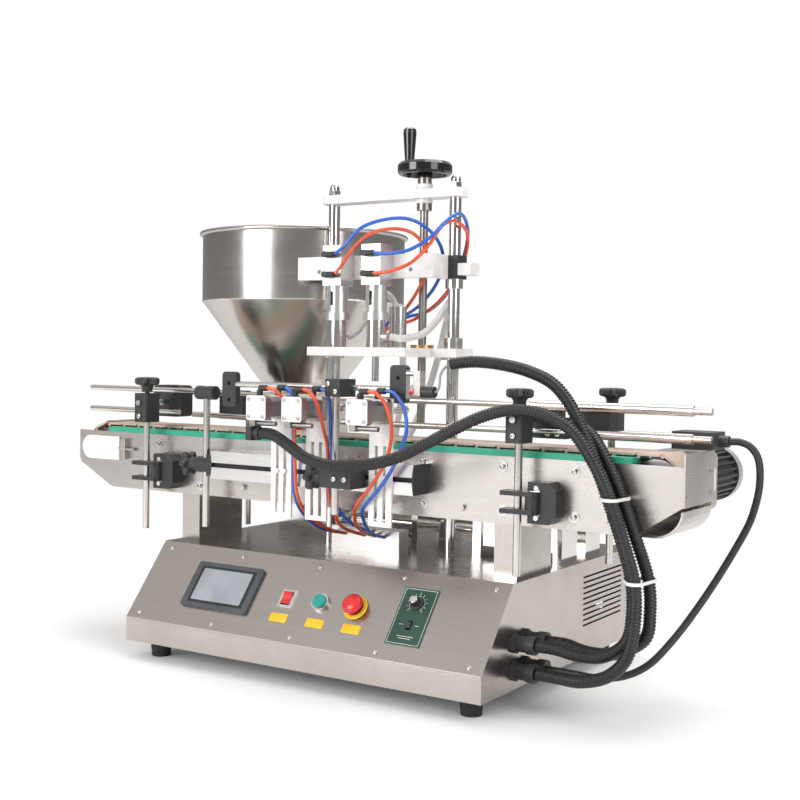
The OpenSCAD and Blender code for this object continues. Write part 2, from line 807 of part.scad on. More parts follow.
module rear_rail() {
  posts = [post_rear, post_rear_left];
  color("silver") rear_rods();
  color("black") for (x = [post_rear - 10, 318, post_rear_left]) difference() {
    box(x - 24, x + 32, rear_y + 2, rear_y + 26, rail_lo - 6, rail_hi + 6);
    rear_rods();
    for (px = posts) rod_y(thin_d, rear_y + 14, rear_y + 40, px, cross_z);
  }
  // Cross rods that slide in the rear heads
  color("silver") for (x = posts) rod_y(thin_d, rear_y + 14, rear_post_y + 30, x, cross_z);
}

module infeed_rods() {
  x0 = conv_x0 + 8;
  rod_x(thin_d, x0, -330, front_rail_y, belt_z + 66);
  rod_x(thin_d, x0, -372, front_rail_y, belt_z + 26);
}

module infeed_rail() {
  color("silver") {
    infeed_rods();
    rod_y(thin_d, post_y - 24, front_rail_y + 16, post_left, cross_z);
  }
  color("black") difference() {
    translate([post_left - 5, 0, belt_z + 46]) along_y(front_rail_y + 2, front_rail_y + 36)
      round_rect(66, 58, 8);
    infeed_rods();
    rod_y(thin_d, post_y, front_rail_y + 16, post_left, cross_z);
  }
}

sensor_x = post_mid[0] + 90;

module photo_sensor() {
  color("black") {
    // Slotted plates on both ends of the arm
    for (p = [[sensor_x, belt_z + 119], [-180 - 30, belt_z + 102]]) difference() {
      translate([p[0] + 15, 0, p[1] - 28]) along_y(beam_y0 + set_gap, beam_y0 + 12) round_rect(30, 60, 7);
      for (dz = [-20, 8]) rod_y(7, 0, 200, p[0] + 15, p[1] - 26 + dz);
    }
    // Hooked arm, sensor barrel and lens
    rod_x(8, sensor_x + 30, sensor_x + 52, arm_y, belt_z + 108);
    box(sensor_x + 46, sensor_x + 58, arm_y - 8, arm_y + 8, belt_z + 74, belt_z + 112);
    rod_x(22, sensor_x + 40, sensor_x + 46, arm_y, belt_z + 80);
    rod_x(18, sensor_x + 58, sensor_x + 80, arm_y, belt_z + 80);
  }
}

// ---------------------------------------------------------------- gantry

col_x = [gantry_x - col_span / 2, gantry_x + col_span / 2];

module columns() {
  color("silver") for (x = col_x) {
    rod_z(col_d, cab_h, bar_z0, x, col_y);
    rod_z(12, bar_z0, bar_z1, x, col_y);
    hex_z(19, bar_z1, bar_z1 + 10, x, col_y);
    rod_z(17, bar_z1 + 10, bar_z1 + 15, x, col_y);
    translate([x, col_y, bar_z1 + 15]) intersection() {
      sphere(d = 17);
      cylinder(d = 20, h = 9);
    }
  }
}

module top_bar() {
  color("whitesmoke") difference() {
    union() {
      box(col_x[0] - 3, col_x[1] + 3, col_y - 18, col_y + 18, bar_z0, bar_z1);
      for (x = [col_x[0] - 3, col_x[1] + 3]) rod_z(36, bar_z0, bar_z1, x, col_y);
      // Bearing housings above and below the bar
      rod_z(28, bar_z0 - 8, bar_z1 + 10, screw_x, col_y);
    }
    for (x = col_x) rod_z(12, bar_z0 - 1, bar_z1 + 1, x, col_y);
    rod_z(screw_d + 2 * run_gap, bar_z0 - 20, bar_z1 + 20, screw_x, col_y);
  }
}

wheel_z0 = bar_z1 + 25;

module lead_screw() {
  color("gray") {
    rod_z(screw_d, belt_z + 10, wheel_z0 + 20, screw_x, col_y);
    // Collars that hold the screw in the bar
    difference() {
      union() {
        rod_z(26, bar_z0 - 20, bar_z0 - 8.1, screw_x, col_y);
        rod_z(24, bar_z1 + 10.1, wheel_z0 - 4, screw_x, col_y);
      }
      rod_z(screw_d, 0, 1000, screw_x, col_y);
    }
  }
}

wheel_r_out = wheel_d / 2;
crank_r = wheel_r_out - 9.5;
crank_a = 168;
pin_d = 8;

module handwheel() {
  color("black") translate([screw_x, col_y, wheel_z0]) {
    difference() {
      rotate_extrude() polygon([
        [0, -4], [13, -4], [13, 6], [wheel_r_out - 11, 10], [wheel_r_out - 8, 1],
        [wheel_r_out - 3, 1], [wheel_r_out, 5], [wheel_r_out, 17], [wheel_r_out - 4, 22],
        [wheel_r_out - 14, 22], [13, 16], [0, 16]
      ]);
      translate([0, 0, -5]) cylinder(d = screw_d, h = 25);
      rotate(crank_a) translate([crank_r, 0, 0]) cylinder(d = pin_d + 2 * run_gap, h = 30);
    }
  }
}

module crank_handle() {
  color("black") translate([screw_x, col_y, wheel_z0]) rotate(crank_a) translate([crank_r, 0, 0]) {
    translate([0, 0, 22.4]) rotate_extrude() polygon([
      [0, 0], [7.5, 0], [8.5, 12], [11.5, 54], [11, 61], [7, 64], [0, 65]
    ]);
    translate([0, 0, 4]) cylinder(d = pin_d, h = 19);
  }
}

// ---------------------------------------------------------------- filling head

nozzles = [nozzle_x - nozzle_pitch / 2, nozzle_x + nozzle_pitch / 2];
body_d = 32;
body_z1 = plate_head_z1 + 46;
flange_z1 = body_z1 + 13;
window_z1 = flange_z1 + 46;
air_z1 = window_z1 + 68;
bar_up_z0 = window_z1 + 13;
bar_up_h = 40;
bar_up_y0 = nozzle_y + 22;
stem_d = 8;
tip_d = 12;
shank_d = 14;
bush_d = 32;

// Stubs on the product bodies that the hoses push onto
module hose_sockets() {
  rod_x(14, nozzles[1] + body_d / 2 - 2, nozzles[1] + 25, nozzle_y, plate_head_z1 + 18);
  rod_y(14, nozzle_y + body_d / 2 - 2, nozzle_y + 25, nozzles[0], plate_head_z1 + 18);
}

module head_plate() {
  color("whitesmoke") {
    difference() {
      // Broad behind for the columns, narrower in front for the nozzles
      union() {
        box(gantry_x - 150, gantry_x + 150, col_y - 31, col_y + 26, plate_head_z0, plate_head_z1);
        box(gantry_x - 100, gantry_x + 100, nozzle_y - 26, col_y - 31, plate_head_z0, plate_head_z1);
      }
      for (x = nozzles) rod_z(shank_d, 0, 1000, x, nozzle_y);
      for (x = col_x) rod_z(col_d + 2, 0, 1000, x, col_y);
      rod_z(screw_d + 6, 0, 1000, screw_x, col_y);
      // Hose opening between the nozzles and the columns
      rod_z(20, 0, 1000, nozzle_x, col_y - 30);
    }
    // Upper crossbar that carries the air cylinders
    difference() {
      translate([gantry_x - 158, bar_up_y0, bar_up_z0]) cube([280, 15, bar_up_h]);
      for (x = [-107, 83]) rod_y(8, 0, 400, gantry_x - 5 + x, bar_up_z0 + 14);
    }
  }
}

module head_fittings() {
  color("silver") {
    // Bushings on the columns, on top of the plate, and their flanges under it
    for (x = col_x) difference() {
      union() {
        rod_z(bush_d, plate_head_z1, plate_head_z1 + 18, x, col_y);
        rod_z(bush_d + 10, plate_head_z0 - 4, plate_head_z0, x, col_y);
      }
      rod_z(col_d + 2 * run_gap, 0, 1000, x, col_y);
    }
    // Nut of the lead screw
    difference() {
      rod_z(40, plate_head_z1, plate_head_z1 + 6, screw_x, col_y);
      rod_z(screw_d + 2 * run_gap, 0, 1000, screw_x, col_y);
    }
    // Clamp block between the crossbar and the right column
    difference() {
      union() {
        translate([0, 0, bar_up_z0]) {
          box(col_x[1] - 15, col_x[1] - 4, bar_up_y0 + 15, col_y - 15, 0, bar_up_h);
          box(col_x[1] - 15, col_x[1] + 15, col_y - 15, col_y + 16, 0, bar_up_h);
          box(col_x[1] + 15, col_x[1] + 40, col_y - 15, col_y + 15, 6, 26);
          box(col_x[0] - 14, col_x[0] + 14, bar_up_y0 + 15, col_y, 0, bar_up_h);
        }
        rod_z(30, bar_up_z0 - 16, bar_up_z0, col_x[1], col_y);
        rod_z(28, bar_up_z0, bar_up_z0 + bar_up_h, col_x[0], col_y);
      }
      for (x = col_x) rod_z(col_d + 2 * run_gap, 0, 1000, x, col_y);
    }
    // Side valve behind the right nozzle
    rod_z(30, plate_head_z1, plate_head_z1 + 70, nozzles[1] + 14, nozzle_y + 46);
    hose_sockets();
    // Tube manifold behind the plate
    translate([nozzle_x - 18, col_y + 6, plate_head_z1]) cube([36, 20, 24]);
  }
}

module nozzle_cylinders() {
  for (x = nozzles) {
    color("silver") {
      difference() {
        box(x - 19, x + 19, nozzle_y - 19, nozzle_y + 19, window_z1, air_z1);
        rod_z(stem_d + 2 * run_gap, window_z1 - 1, air_z1 - 16, x, nozzle_y);
      }
      // Slotted window body round the stem
      difference() {
        rod_z(36, flange_z1, window_z1, x, nozzle_y);
        rod_z(20, flange_z1 - 1, window_z1 + 1, x, nozzle_y);
        box(x - 3, x + 3, nozzle_y - 30, nozzle_y + 30, flange_z1 + 12, flange_z1 + 36);
      }
      difference() {
        rod_z(44, body_z1, flange_z1, x, nozzle_y);
        rod_z(stem_d + 2 * run_gap, body_z1 - 1, flange_z1 + 1, x, nozzle_y);
      }
      // Mounting block on the crossbar
      box(x - 16, x + 16, nozzle_y + 19, bar_up_y0, bar_up_z0, bar_up_z0 + bar_up_h);
    }
    // Elbow fittings of the air tubes
    color("black") for (dz = [18, 52]) {
      rod_y(11, nozzle_y - 34, nozzle_y - 19, x - 6, window_z1 + dz);
      rod_x(10, x - 6, x + 12, nozzle_y - 29, window_z1 + dz);
    }
  }
}

module product_bodies() {
  color("silver") for (x = nozzles) difference() {
    union() {
      difference() {
        rod_z(body_d, plate_head_z1, body_z1, x, nozzle_y);
        hose_sockets();
      }
      rod_z(shank_d - 2 * set_gap, plate_head_z0, plate_head_z1, x, nozzle_y);
      rod_z(tip_d - 2 * set_gap, plate_head_z0 - 42, plate_head_z0, x, nozzle_y);
    }
    rod_z(stem_d + 2 * run_gap, plate_head_z0 - 60, body_z1 + 1, x, nozzle_y);
  }
}

module nozzle_rod(x) {
  color("silver") {
    rod_z(stem_d, plate_head_z0 - 42, air_z1 - 30, x, nozzle_y);
    rod_z(16, flange_z1 + 2, flange_z1 + 10, x, nozzle_y);
  }
}

module nozzle_rod_left() {
  nozzle_rod(nozzles[0]);
}

module nozzle_rod_right() {
  nozzle_rod(nozzles[1]);
}

// ---------------------------------------------------------------- gates

bracket_w = 43;
bracket_y0 = beam_y0 - bracket_t;

module gate_beam() {
  color("silver") difference() {
    box(beam_x0, beam_x0 + beam_len, beam_y0, beam_y1, beam_z0, beam_z0 + beam_w);
    // T slots in the front, top and bottom
    mid = beam_w / 2;
    translate([beam_x0 - 1, beam_y0, beam_z0]) {
      translate([0, -1, mid - 4]) cube([beam_len + 2, 6, 8]);
      translate([0, 3, mid - 9]) cube([beam_len + 2, 8, 18]);
      for (z = [-1, beam_w - 6]) translate([0, mid - 4, z]) cube([beam_len + 2, 8, 7]);
    }
  }
  // Black end caps
  color("black") for (x = [beam_x0 - 3, beam_x0 + beam_len])
    box(x, x + 3, beam_y0, beam_y1, beam_z0, beam_z0 + beam_w);
}

module gate_brackets() {
  z0 = belt_z - 135;
  color("whitesmoke") for (x = gate_x) {
    difference() {
      box(x - bracket_w / 2, x + bracket_w / 2, bracket_y0, beam_y0, z0, gate_z + gate_w / 2);
      for (s = [-1, 1]) box(x + s * 8 - 3, x + s * 8 + 3, 0, 200, z0 + 8, z0 + 128);
      rod_y(22, 0, 200, x, gate_z);
    }
    // Bolts that hold the plate on the beam's slot
    for (s = [-1, 1]) rod_y(9, bracket_y0 - 4, bracket_y0, x + s * 8, beam_z0 + beam_w / 2);
  }
}

manifold_y = 215;
gate_bore = 24;
gate_wall = 16;

module gate_cylinders() {
  y0 = bracket_y0 - gate_len;
  air_manifold();
  for (x = gate_x) {
    color("whitesmoke") difference() {
      translate([x, 0, gate_z]) {
        along_y(y0, y0 + 14) round_rect(gate_w, gate_w, 5);
        along_y(y0 + 14, bracket_y0 - 12) round_rect(gate_w - 6, gate_w - 6, 8);
        along_y(bracket_y0 - 12, bracket_y0) round_rect(gate_w, gate_w, 5);
      }
      rod_y(gate_bore, y0 + gate_wall, bracket_y0 + 1, x, gate_z);
    }
    // Bearing nose through the bracket plate
    color("silver") difference() {
      rod_y(gate_bore - 2 * set_gap, bracket_y0 - 4, bracket_y0, x, gate_z);
      rod_y(10 + 2 * run_gap, 0, 200, x, gate_z);
    }
    // Front screws and the dark guide rod below
    color("dimgray") {
      for (sx = [-1, 1], sz = [-1, 1]) rod_y(6, y0 - 2, y0, x + sx * 14, gate_z + sz * 14);
      rod_x(8, x - 10, x + 34, y0 + 10, gate_z - gate_w / 2 - 5);
      box(x - 16, x - 4, y0 + 3, y0 + 17, gate_z - gate_w / 2 - 10, gate_z - gate_w / 2);
    }
    // Tube fittings on top
    color("deepskyblue") for (y = [y0 + 10, bracket_y0 - 10]) {
      rod_z(10, gate_z + gate_w / 2 - 1, gate_z + gate_w / 2 + 9, x, y);
      rod_x(10, x, x + 14, y, gate_z + gate_w / 2 + 12);
    }
  }
}

// Air manifold under the conveyor, with the conduit gland of the first gate
module air_manifold() {
  color("silver") box(-70, 70, manifold_y, manifold_y + 30, cab_h, cab_h + 40);
  color("black") {
    box(gate_x[0] - 18, gate_x[0] - 7, 7, 33, gate_z - 53, gate_z - 30);
    rod_x(21, gate_x[0] - 7, gate_x[0] + 3, 20, gate_z - 41.5);
  }
}

module stopper(x) {
  y0 = bracket_y0 - gate_len + gate_wall + 2;
  color("silver") {
    rod_y(gate_bore - 0.8, y0, bracket_y0 - 6 - gate_stroke, x, gate_z);
    rod_y(10, y0, beam_y1 + 12, x, gate_z);
    rod_y(14, beam_y1 + 12, beam_y1 + 20, x, gate_z);
  }
}

module stopper_left() {
  stopper(gate_x[0]);
}

module stopper_mid() {
  stopper(gate_x[1]);
}

module stopper_right() {
  stopper(gate_x[2]);
}

// ---------------------------------------------------------------- hopper and dosing

module hopper() {
  r = hopper_d / 2;
  t = hopper_t;
  color("silver") translate([hopper_x, hopper_y, 0]) {
    rotate_extrude($fn = 128) polygon([
      [outlet_r, outlet_z - 12], [outlet_r, outlet_z], [r, hopper_z0], [r, hopper_z1],
      [r - t, hopper_z1], [r - t, hopper_z0 + 1], [outlet_r - t, outlet_z + 1],
      [outlet_r - t, outlet_z - 12]
    ]);
    // Rolled rim
    rotate_extrude($fn = 128) translate([rim_mid_r, hopper_z1 - rim_r]) difference() {
      circle(rim_r);
      circle(rim_r - 1.5);
      translate([-2 * rim_r, -2 * rim_r]) square([rim_r + 1.5, 2 * rim_r]);
    }
  }
}

valve_z = outlet_z - 34;

module hopper_stand() {
  color("silver") {
    // Clamp ring under the outlet and the valve body
    difference() {
      union() {
        rod_z(52, outlet_z - 18, outlet_z - 12, hopper_x, hopper_y);
        rod_z(46, valve_z - 20, outlet_z - 18, hopper_x, hopper_y);
        rod_y(30, hopper_y - 38, hopper_y, hopper_x, valve_z);
      }
      rod_z(2 * (outlet_r - hopper_t), 0, 1000, hopper_x, hopper_y);
      rod_y(10 + 2 * run_gap, hopper_y - 50, hopper_y - 16, hopper_x, valve_z);
    }
    // Pipe down to the product block on the cabinet
    difference() {
      rod_z(38, cab_h + 58, valve_z - 20, hopper_x, hopper_y);
      rod_z(34, cab_h + 58, valve_z - 19, hopper_x, hopper_y);
    }
    box(hopper_x - 30, hopper_x + 30, hopper_y - 30, hopper_y + 30, cab_h, cab_h + 58);
    rod_x(38, hopper_x + 30, dose_x0 - 36, hopper_y, cab_h + 38);
    // Rear post with a ring arm under the cone
    box(hopper_x - 15, hopper_x + 15, cab_d - 34, cab_d - 4, cab_h, outlet_z + 100);
    difference() {
      box(hopper_x - 15, hopper_x + 15, hopper_y, cab_d - 34, outlet_z + 90, outlet_z + 96);
      rod_z(2 * (outlet_r + 96 * cone_slope + 0.3), 0, 1000, hopper_x, hopper_y);
    }
  }
}

module valve_lever() {
  color("red") {
    rod_y(10, hopper_y - 54, hopper_y - 17, hopper_x, valve_z);
    translate([hopper_x, hopper_y - 54, valve_z]) rotate([0, -50, 0]) {
      box(-9, 82, 0, 5, -8, 8);
      rod_x(18, 24, 84, 2.5, 0);
    }
  }
}

dose_y = [335, 430];
dose_z = cab_h + 38;
dose_x0 = -120;
dose_stroke = 55;
yoke_x = 92;

module dosing_cylinders() {
  color("silver") for (y = dose_y) {
    // Product cylinder, closed at the left, with a rod seal at the right
    difference() {
      rod_x(54, dose_x0, dose_x0 + 160, y, dose_z);
      rod_x(48, dose_x0 + 6, dose_x0 + 154, y, dose_z);
      rod_x(14 + 2 * run_gap, dose_x0 + 150, dose_x0 + 165, y, dose_z);
    }
    // Feet
    for (x = [dose_x0 - 12, dose_x0 + 160]) difference() {
      box(x, x + 12, y - 32, y + 32, cab_h, dose_z + 32);
      rod_x(x > 0 ? 14 + 2 * run_gap : 40, x - 1, x + 13, y, dose_z);
    }
    // Air cylinder with its end blocks
    difference() {
      union() {
        box(170, 322, y - 25, y + 25, dose_z - 22, dose_z + 28);
        box(162, 178, y - 30, y + 30, cab_h, dose_z + 32);
        box(314, 330, y - 30, y + 30, cab_h, dose_z + 32);
      }
      rod_x(40, 182, 310, y, dose_z);
      rod_x(14 + 2 * run_gap, 150, 190, y, dose_z);
    }
  }
  // Hose ports on top of the product cylinders
  color("silver") for (y = dose_y) difference() {
    rod_z(16, dose_z + 20, dose_z + 34, dose_x0 + 20, y);
    rod_x(54, dose_x0, dose_x0 + 160, y, dose_z);
  }
  // Product manifold that feeds both cylinders
  color("silver") box(dose_x0 - 36, dose_x0 - 12, dose_y[0] - 24, dose_y[1] + 24, cab_h, dose_z + 24);
}

module dosing_pistons() {
  color("silver") for (y = dose_y) {
    rod_x(14, dose_x0 + 12, 224, y, dose_z);
    rod_x(47.6, dose_x0 + 12, dose_x0 + 22, y, dose_z);
    rod_x(39.6, 214, 224, y, dose_z);
  }
  // Yoke that ties the two rods together
  color("silver") difference() {
    box(yoke_x, yoke_x + 12, dose_y[0] - 20, dose_y[1] + 20, dose_z - 14, dose_z + 14);
    for (y = dose_y) rod_x(14, 0, 200, y, dose_z);
  }
}

// ---------------------------------------------------------------- cables and tubes

conduit_d = 19;
motor_cable_d = 11;
tube_d = 6;
hose_d = 12;
wire_d = 4;
face = cab_w / 2 + 38;
port_z = gate_z + gate_w / 2 + 12;
low_z = cab_h + 28;
elbow_z = window_z1 + 18;
hose_z = plate_head_z1 + 18;
dose_port = [dose_x0 + 20, dose_z + 34];

// Conduit to the photo sensor: out of the cabinet, up the side and over in an arc
sensor_conduit = [
  [face, 100, 102], [face + 30, 100, 102], [face + 70, 98, 98], [face + 110, 94, 104],
  [face + 142, 94, 128], [face + 150, 95, 165], [face + 147, 97, 215], [face + 130, 98, 270],
  [face + 108, 97, 330], [face + 87, 97, 382], [face + 66, 100, 425], [face + 42, 105, 463],
  [400, 108, 492], [358, 110, 509], [312, 110, 518], [270, 104, 521], [235, 96, 517]
];
sensor_wire = [[235, 96, 517], [226, 93, 511], [221, 89, 500], [221, 87, 487], [219, 86, 477], [213, 86, 473]];
// Conduit to the first gate cylinder, which hangs in front of the gates
gate_conduit = [
  [face, 100, 60], [face + 35, 100, 60], [face + 78, 86, 64], [face + 122, 78, 80],
  [face + 152, 74, 112], [face + 162, 74, 160], [face + 160, 76, 215], [face + 142, 77, 272],
  [face + 120, 78, 330], [face + 94, 78, 380], [face + 60, 76, 425], [405, 70, 447],
  [360, 60, 452], [320, 48, 442], [280, 34, 422], [235, 18, 396], [190, 6, 374], [140, -2, 362],
  [85, -4, 358], [30, 4, 366], [-12, 14, 383], [-42, 19, 396], [-58, 20, gate_z - 41.5],
  [gate_x[0] + 3, 20, gate_z - 41.5]
];
// Third conduit, to the holder behind the front right head
rail_conduit = [
  [face, 137, 102], [face + 30, 137, 102], [face + 70, 126, 98], [face + 116, 118, 104],
  [face + 160, 118, 130], [face + 168, 117, 170], [face + 164, 117, 218], [face + 144, 116, 275],
  [face + 124, 115, 326], [face + 106, 115, 366], [face + 84, 121, 400], [447, 140, 419],
  [418.5, 164, 424]
];
// Motor cable, from the terminal box down to the last connector
motor_cable = [
  [drive_x + 56, 320, 405], [drive_x + 74, 320, 405], [drive_x + 91, 319, 397],
  [drive_x + 103, 316, 378], [drive_x + 107, 310, 345], [drive_x + 103, 302, 310],
  [drive_x + 93, 292, 275], [drive_x + 65, 262, 210], [drive_x + 41, 232, 160], [562, 200, 118],
  [538, 168, 84], [508, 148, 66], [470, 139, 59], [430, 137, 60], [face, 137, 60]
];
// Two air tubes to each gate: one from its front fitting, one from its rear fitting
gate_front_tubes = [
  [[-63, 20, port_z], [-50, 20, 472], [-40, 26, 462], [-34, 40, 442], [-33, 54, 415], [-36, 61, 380],
   [-36, 63, 340], [-38, 71, 300], [-40, 100, 265], [-40, 160, 233], [-40, 215, low_z]],
  [[9, 20, port_z], [20, 20, 471], [28, 28, 458], [27, 42, 436], [23, 58, 410], [20.4, 72, 384],
   [20.4, 76, 350], [20.4, 77, 318], [18, 92, 282], [5, 140, 242], [0, 215, low_z]],
  [[134, 20, port_z], [148, 22, 470], [159, 32, 452], [162, 44, 420], [154, 52, 385], [136, 56, 350],
   [112, 60, 320], [88, 68, 298], [64, 90, 276], [38, 140, 242], [21, 214.5, low_z]]
];
gate_rear_tubes = [
  [[-63, 68, port_z], [-54, 68, 470], [-48, 68, 458], [-46, 68, 430], [-46, 70, 390], [-47, 71, 345],
   [-49, 77, 304], [-52, 102, 268], [-58, 160, 234], [-60, 215, low_z]],
  [[9, 68, port_z], [19, 68, 470], [27, 67, 456], [31, 66, 432], [30, 69, 404], [27.4, 75, 376],
   [27.4, 77, 345], [27.4, 77, 314], [27, 94, 282], [22, 140, 250], [14, 215, low_z + 6]],
  [[134, 68, port_z], [150, 68, 470], [170, 66, 448], [178, 62, 415], [168, 62, 385], [150, 64, 350],
   [124, 68, 318], [100, 74, 296], [78, 92, 278], [56, 134, 250], [44, 172, 230], [40, 215, low_z]]
];
// Air tubes of the nozzle cylinders, looping over the crossbar to the block behind the plate
head_routes = [
  [[42, 166, elbow_z + 34], [73, 168, 697], [106, 178, 703],
   [col_x[1] + 3, 196, 724], [col_x[1] + 19, 216, 750], [col_x[1] + 25, 244, 766],
   [col_x[1] + 21, 276, 762], [col_x[1] + 11, 306, 738], [126, 320, 700], [104, 325, 656],
   [76, 326, 624], [50, 322, 606], [26, 314, 600], [9, 304, 590], [4, 297, plate_head_z1 + 25]],
  [[42, 166, elbow_z], [72, 170, 668], [106, 182, 682], [130, 199, 712],
   [col_x[1] + 11, 216, 742], [col_x[1] + 17, 240, 754], [col_x[1] + 19, 264, 752],
   [col_x[1] + 17, 293, 738], [136, 311, 706], [116, 314, 664], [84, 306, 622], [46, 295, 594],
   [14, 288, 583], [0, 290, 578], [-8, 297, plate_head_z1 + 26.2]],
  [[-36.5, 166, elbow_z + 34.5], [-15, 166, 714], [10, 175, 742], [46, 196, 757],
   [78, 220, 758], [98, 250, 742], [104, 280, 716], [98, 298, 684], [80, 300, 648], [52, 295, 616],
   [18, 290, 596],
   [-8, 291, 588], [-20, 297, plate_head_z1 + 25.5]],
  [[-35.8, 166, elbow_z + 1], [-23, 169, 682], [-8, 178, 708], [18, 188, 732],
   [50, 206, 742], [78, 228, 736], [90, 250, 712], [86, 265, 676], [67, 266, 640], [42, 263, 606],
   [14, 259, 578], [-9, 266, 559], [-18, 285.6, 554]]
];
// Product hoses from the dosing cylinders up to the nozzles
hose_routes = [
  [[nozzles[0], 221, hose_z], [-50, 240, 563], [-48, 262, 577], [-46, 284, 604], [-44, 308, 632],
   [-40, 336, 640], [-38, 362, 618], [-38, 382, 570], [-44, 398, 500], [-60, 412, 420],
   [-80, 424, 350], [-96, 430, 300],
   [dose_port[0], dose_y[1], dose_port[1] + 0.8]],
  [[nozzles[1] + 27.8, 196, hose_z], [82, 208, 558], [102, 234, 568], [107, 266, 590], [106, 300, 614],
   [98, 330, 628], [82, 352, 616], [66, 362, 576], [48, 368, 520], [24, 370, 455], [-4, 366, 390],
   [-44, 356, 330], [-84, 342, 296],
   [dose_port[0], dose_y[0], dose_port[1] + 3]]
];

module conduits() {
  color("black") {
    for (route = [sensor_conduit, gate_conduit, rail_conduit]) cord(route, conduit_d, 1);
    cord(motor_cable, motor_cable_d, 1);
    cord(sensor_wire, wire_d, 1);
  }
}

module gate_tubes() {
  color("orangered") for (route = gate_front_tubes) cord(route, tube_d, 2);
  color("royalblue") for (route = gate_rear_tubes) cord(route, tube_d, 2);
}

module head_tubes() {
  for (k = [0:3]) color(k % 2 == 0 ? "royalblue" : "orangered") cord(head_routes[k], tube_d, 2);
}

module product_hoses() {
  color("white") for (route = hose_routes) cord(route, hose_d, 2);
}

at_origin() cabinet_shell();
at_origin() control_panel();
at_origin() base_plate();
at_origin() rubber_feet();
at_origin() panel_screws();
at_origin() inner_electronics();
at_origin() touch_screen();
at_origin() switch_bases();
at_origin() rocker();
at_origin() start_cap();
at_origin() estop_head();
at_origin() speed_plate();
at_origin() speed_knob();
at_origin() direction_toggle();
at_origin() side_connectors();
at_origin() conveyor_legs();
at_origin() front_side_plate();
at_origin() rear_side_plate();
at_origin() conveyor_ends();
at_origin() wear_strips();
at_origin() slat_chain();
at_origin() drive_shaft();
at_origin() idler_shaft();
at_origin() gearmotor();
at_origin() bracket_rods();
at_origin() bracket_clamps();
at_origin() knob_front_left();
at_origin() knob_front_right();
at_origin() knob_rear_right();
at_origin() knob_sensor_left();
at_origin() knob_sensor_mid();
at_origin() rear_rail();
at_origin() infeed_rail();
at_origin() photo_sensor();
at_origin() columns();
at_origin() top_bar();
at_origin() lead_screw();
at_origin() handwheel();
at_origin() crank_handle();
at_origin() head_plate();
at_origin() head_fittings();
at_origin() nozzle_cylinders();
at_origin() product_bodies();
at_origin() nozzle_rod_left();
at_origin() nozzle_rod_right();
at_origin() gate_beam();
at_origin() gate_brackets();
at_origin() gate_cylinders();
at_origin() stopper_left();
at_origin() stopper_mid();
at_origin() stopper_right();
at_origin() hopper();
at_origin() hopper_stand();
at_origin() valve_lever();
at_origin() dosing_cylinders();
at_origin() dosing_pistons();
at_origin() conduits();
at_origin() gate_tubes();
at_origin() head_tubes();
at_origin() product_hoses();
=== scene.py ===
import math

import bmesh
import bpy
from mathutils import Matrix, Vector


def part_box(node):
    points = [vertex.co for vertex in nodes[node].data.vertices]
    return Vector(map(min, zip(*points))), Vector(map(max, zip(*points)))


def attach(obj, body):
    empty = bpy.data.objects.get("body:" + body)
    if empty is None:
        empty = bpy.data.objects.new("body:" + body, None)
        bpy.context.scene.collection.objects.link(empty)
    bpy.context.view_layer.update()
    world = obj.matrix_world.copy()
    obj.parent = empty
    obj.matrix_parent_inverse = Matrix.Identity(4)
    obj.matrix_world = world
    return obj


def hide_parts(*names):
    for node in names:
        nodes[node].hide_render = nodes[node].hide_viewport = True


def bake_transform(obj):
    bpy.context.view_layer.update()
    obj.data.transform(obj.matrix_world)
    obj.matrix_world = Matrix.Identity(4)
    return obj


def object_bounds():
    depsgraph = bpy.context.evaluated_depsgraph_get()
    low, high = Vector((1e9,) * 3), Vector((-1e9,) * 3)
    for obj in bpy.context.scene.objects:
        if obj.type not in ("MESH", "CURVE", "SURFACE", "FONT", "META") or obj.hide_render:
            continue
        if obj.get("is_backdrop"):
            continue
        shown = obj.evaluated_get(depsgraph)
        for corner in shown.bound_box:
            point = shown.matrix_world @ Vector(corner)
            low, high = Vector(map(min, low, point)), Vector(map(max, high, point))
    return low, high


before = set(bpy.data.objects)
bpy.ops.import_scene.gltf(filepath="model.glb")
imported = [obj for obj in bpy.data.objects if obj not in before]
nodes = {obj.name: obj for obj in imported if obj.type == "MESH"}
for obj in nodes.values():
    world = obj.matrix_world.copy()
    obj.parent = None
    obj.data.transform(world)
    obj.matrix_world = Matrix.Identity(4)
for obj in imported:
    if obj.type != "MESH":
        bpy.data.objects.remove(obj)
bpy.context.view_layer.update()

# ---------------------------------------------------------------- where the machine stands
# Places are given from the cabinet's centre line, its front edge and the floor, in metres,
# and at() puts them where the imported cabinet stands.
cabinet_low, cabinet_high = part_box("cabinet_shell")
centre_x = (cabinet_low.x + cabinet_high.x) / 2
front_y = cabinet_low.y


def at(x, y, z):
    return Vector((centre_x + x, front_y + y, z))


# ---------------------------------------------------------------- studio
# A seamless pale floor under an even white sky, with one large soft box at the left front
# and a weaker one at the right. The camera stands at the machine's right front corner.
scene = bpy.context.scene
scene.view_settings.view_transform = "Standard"
scene.view_settings.look = "None"

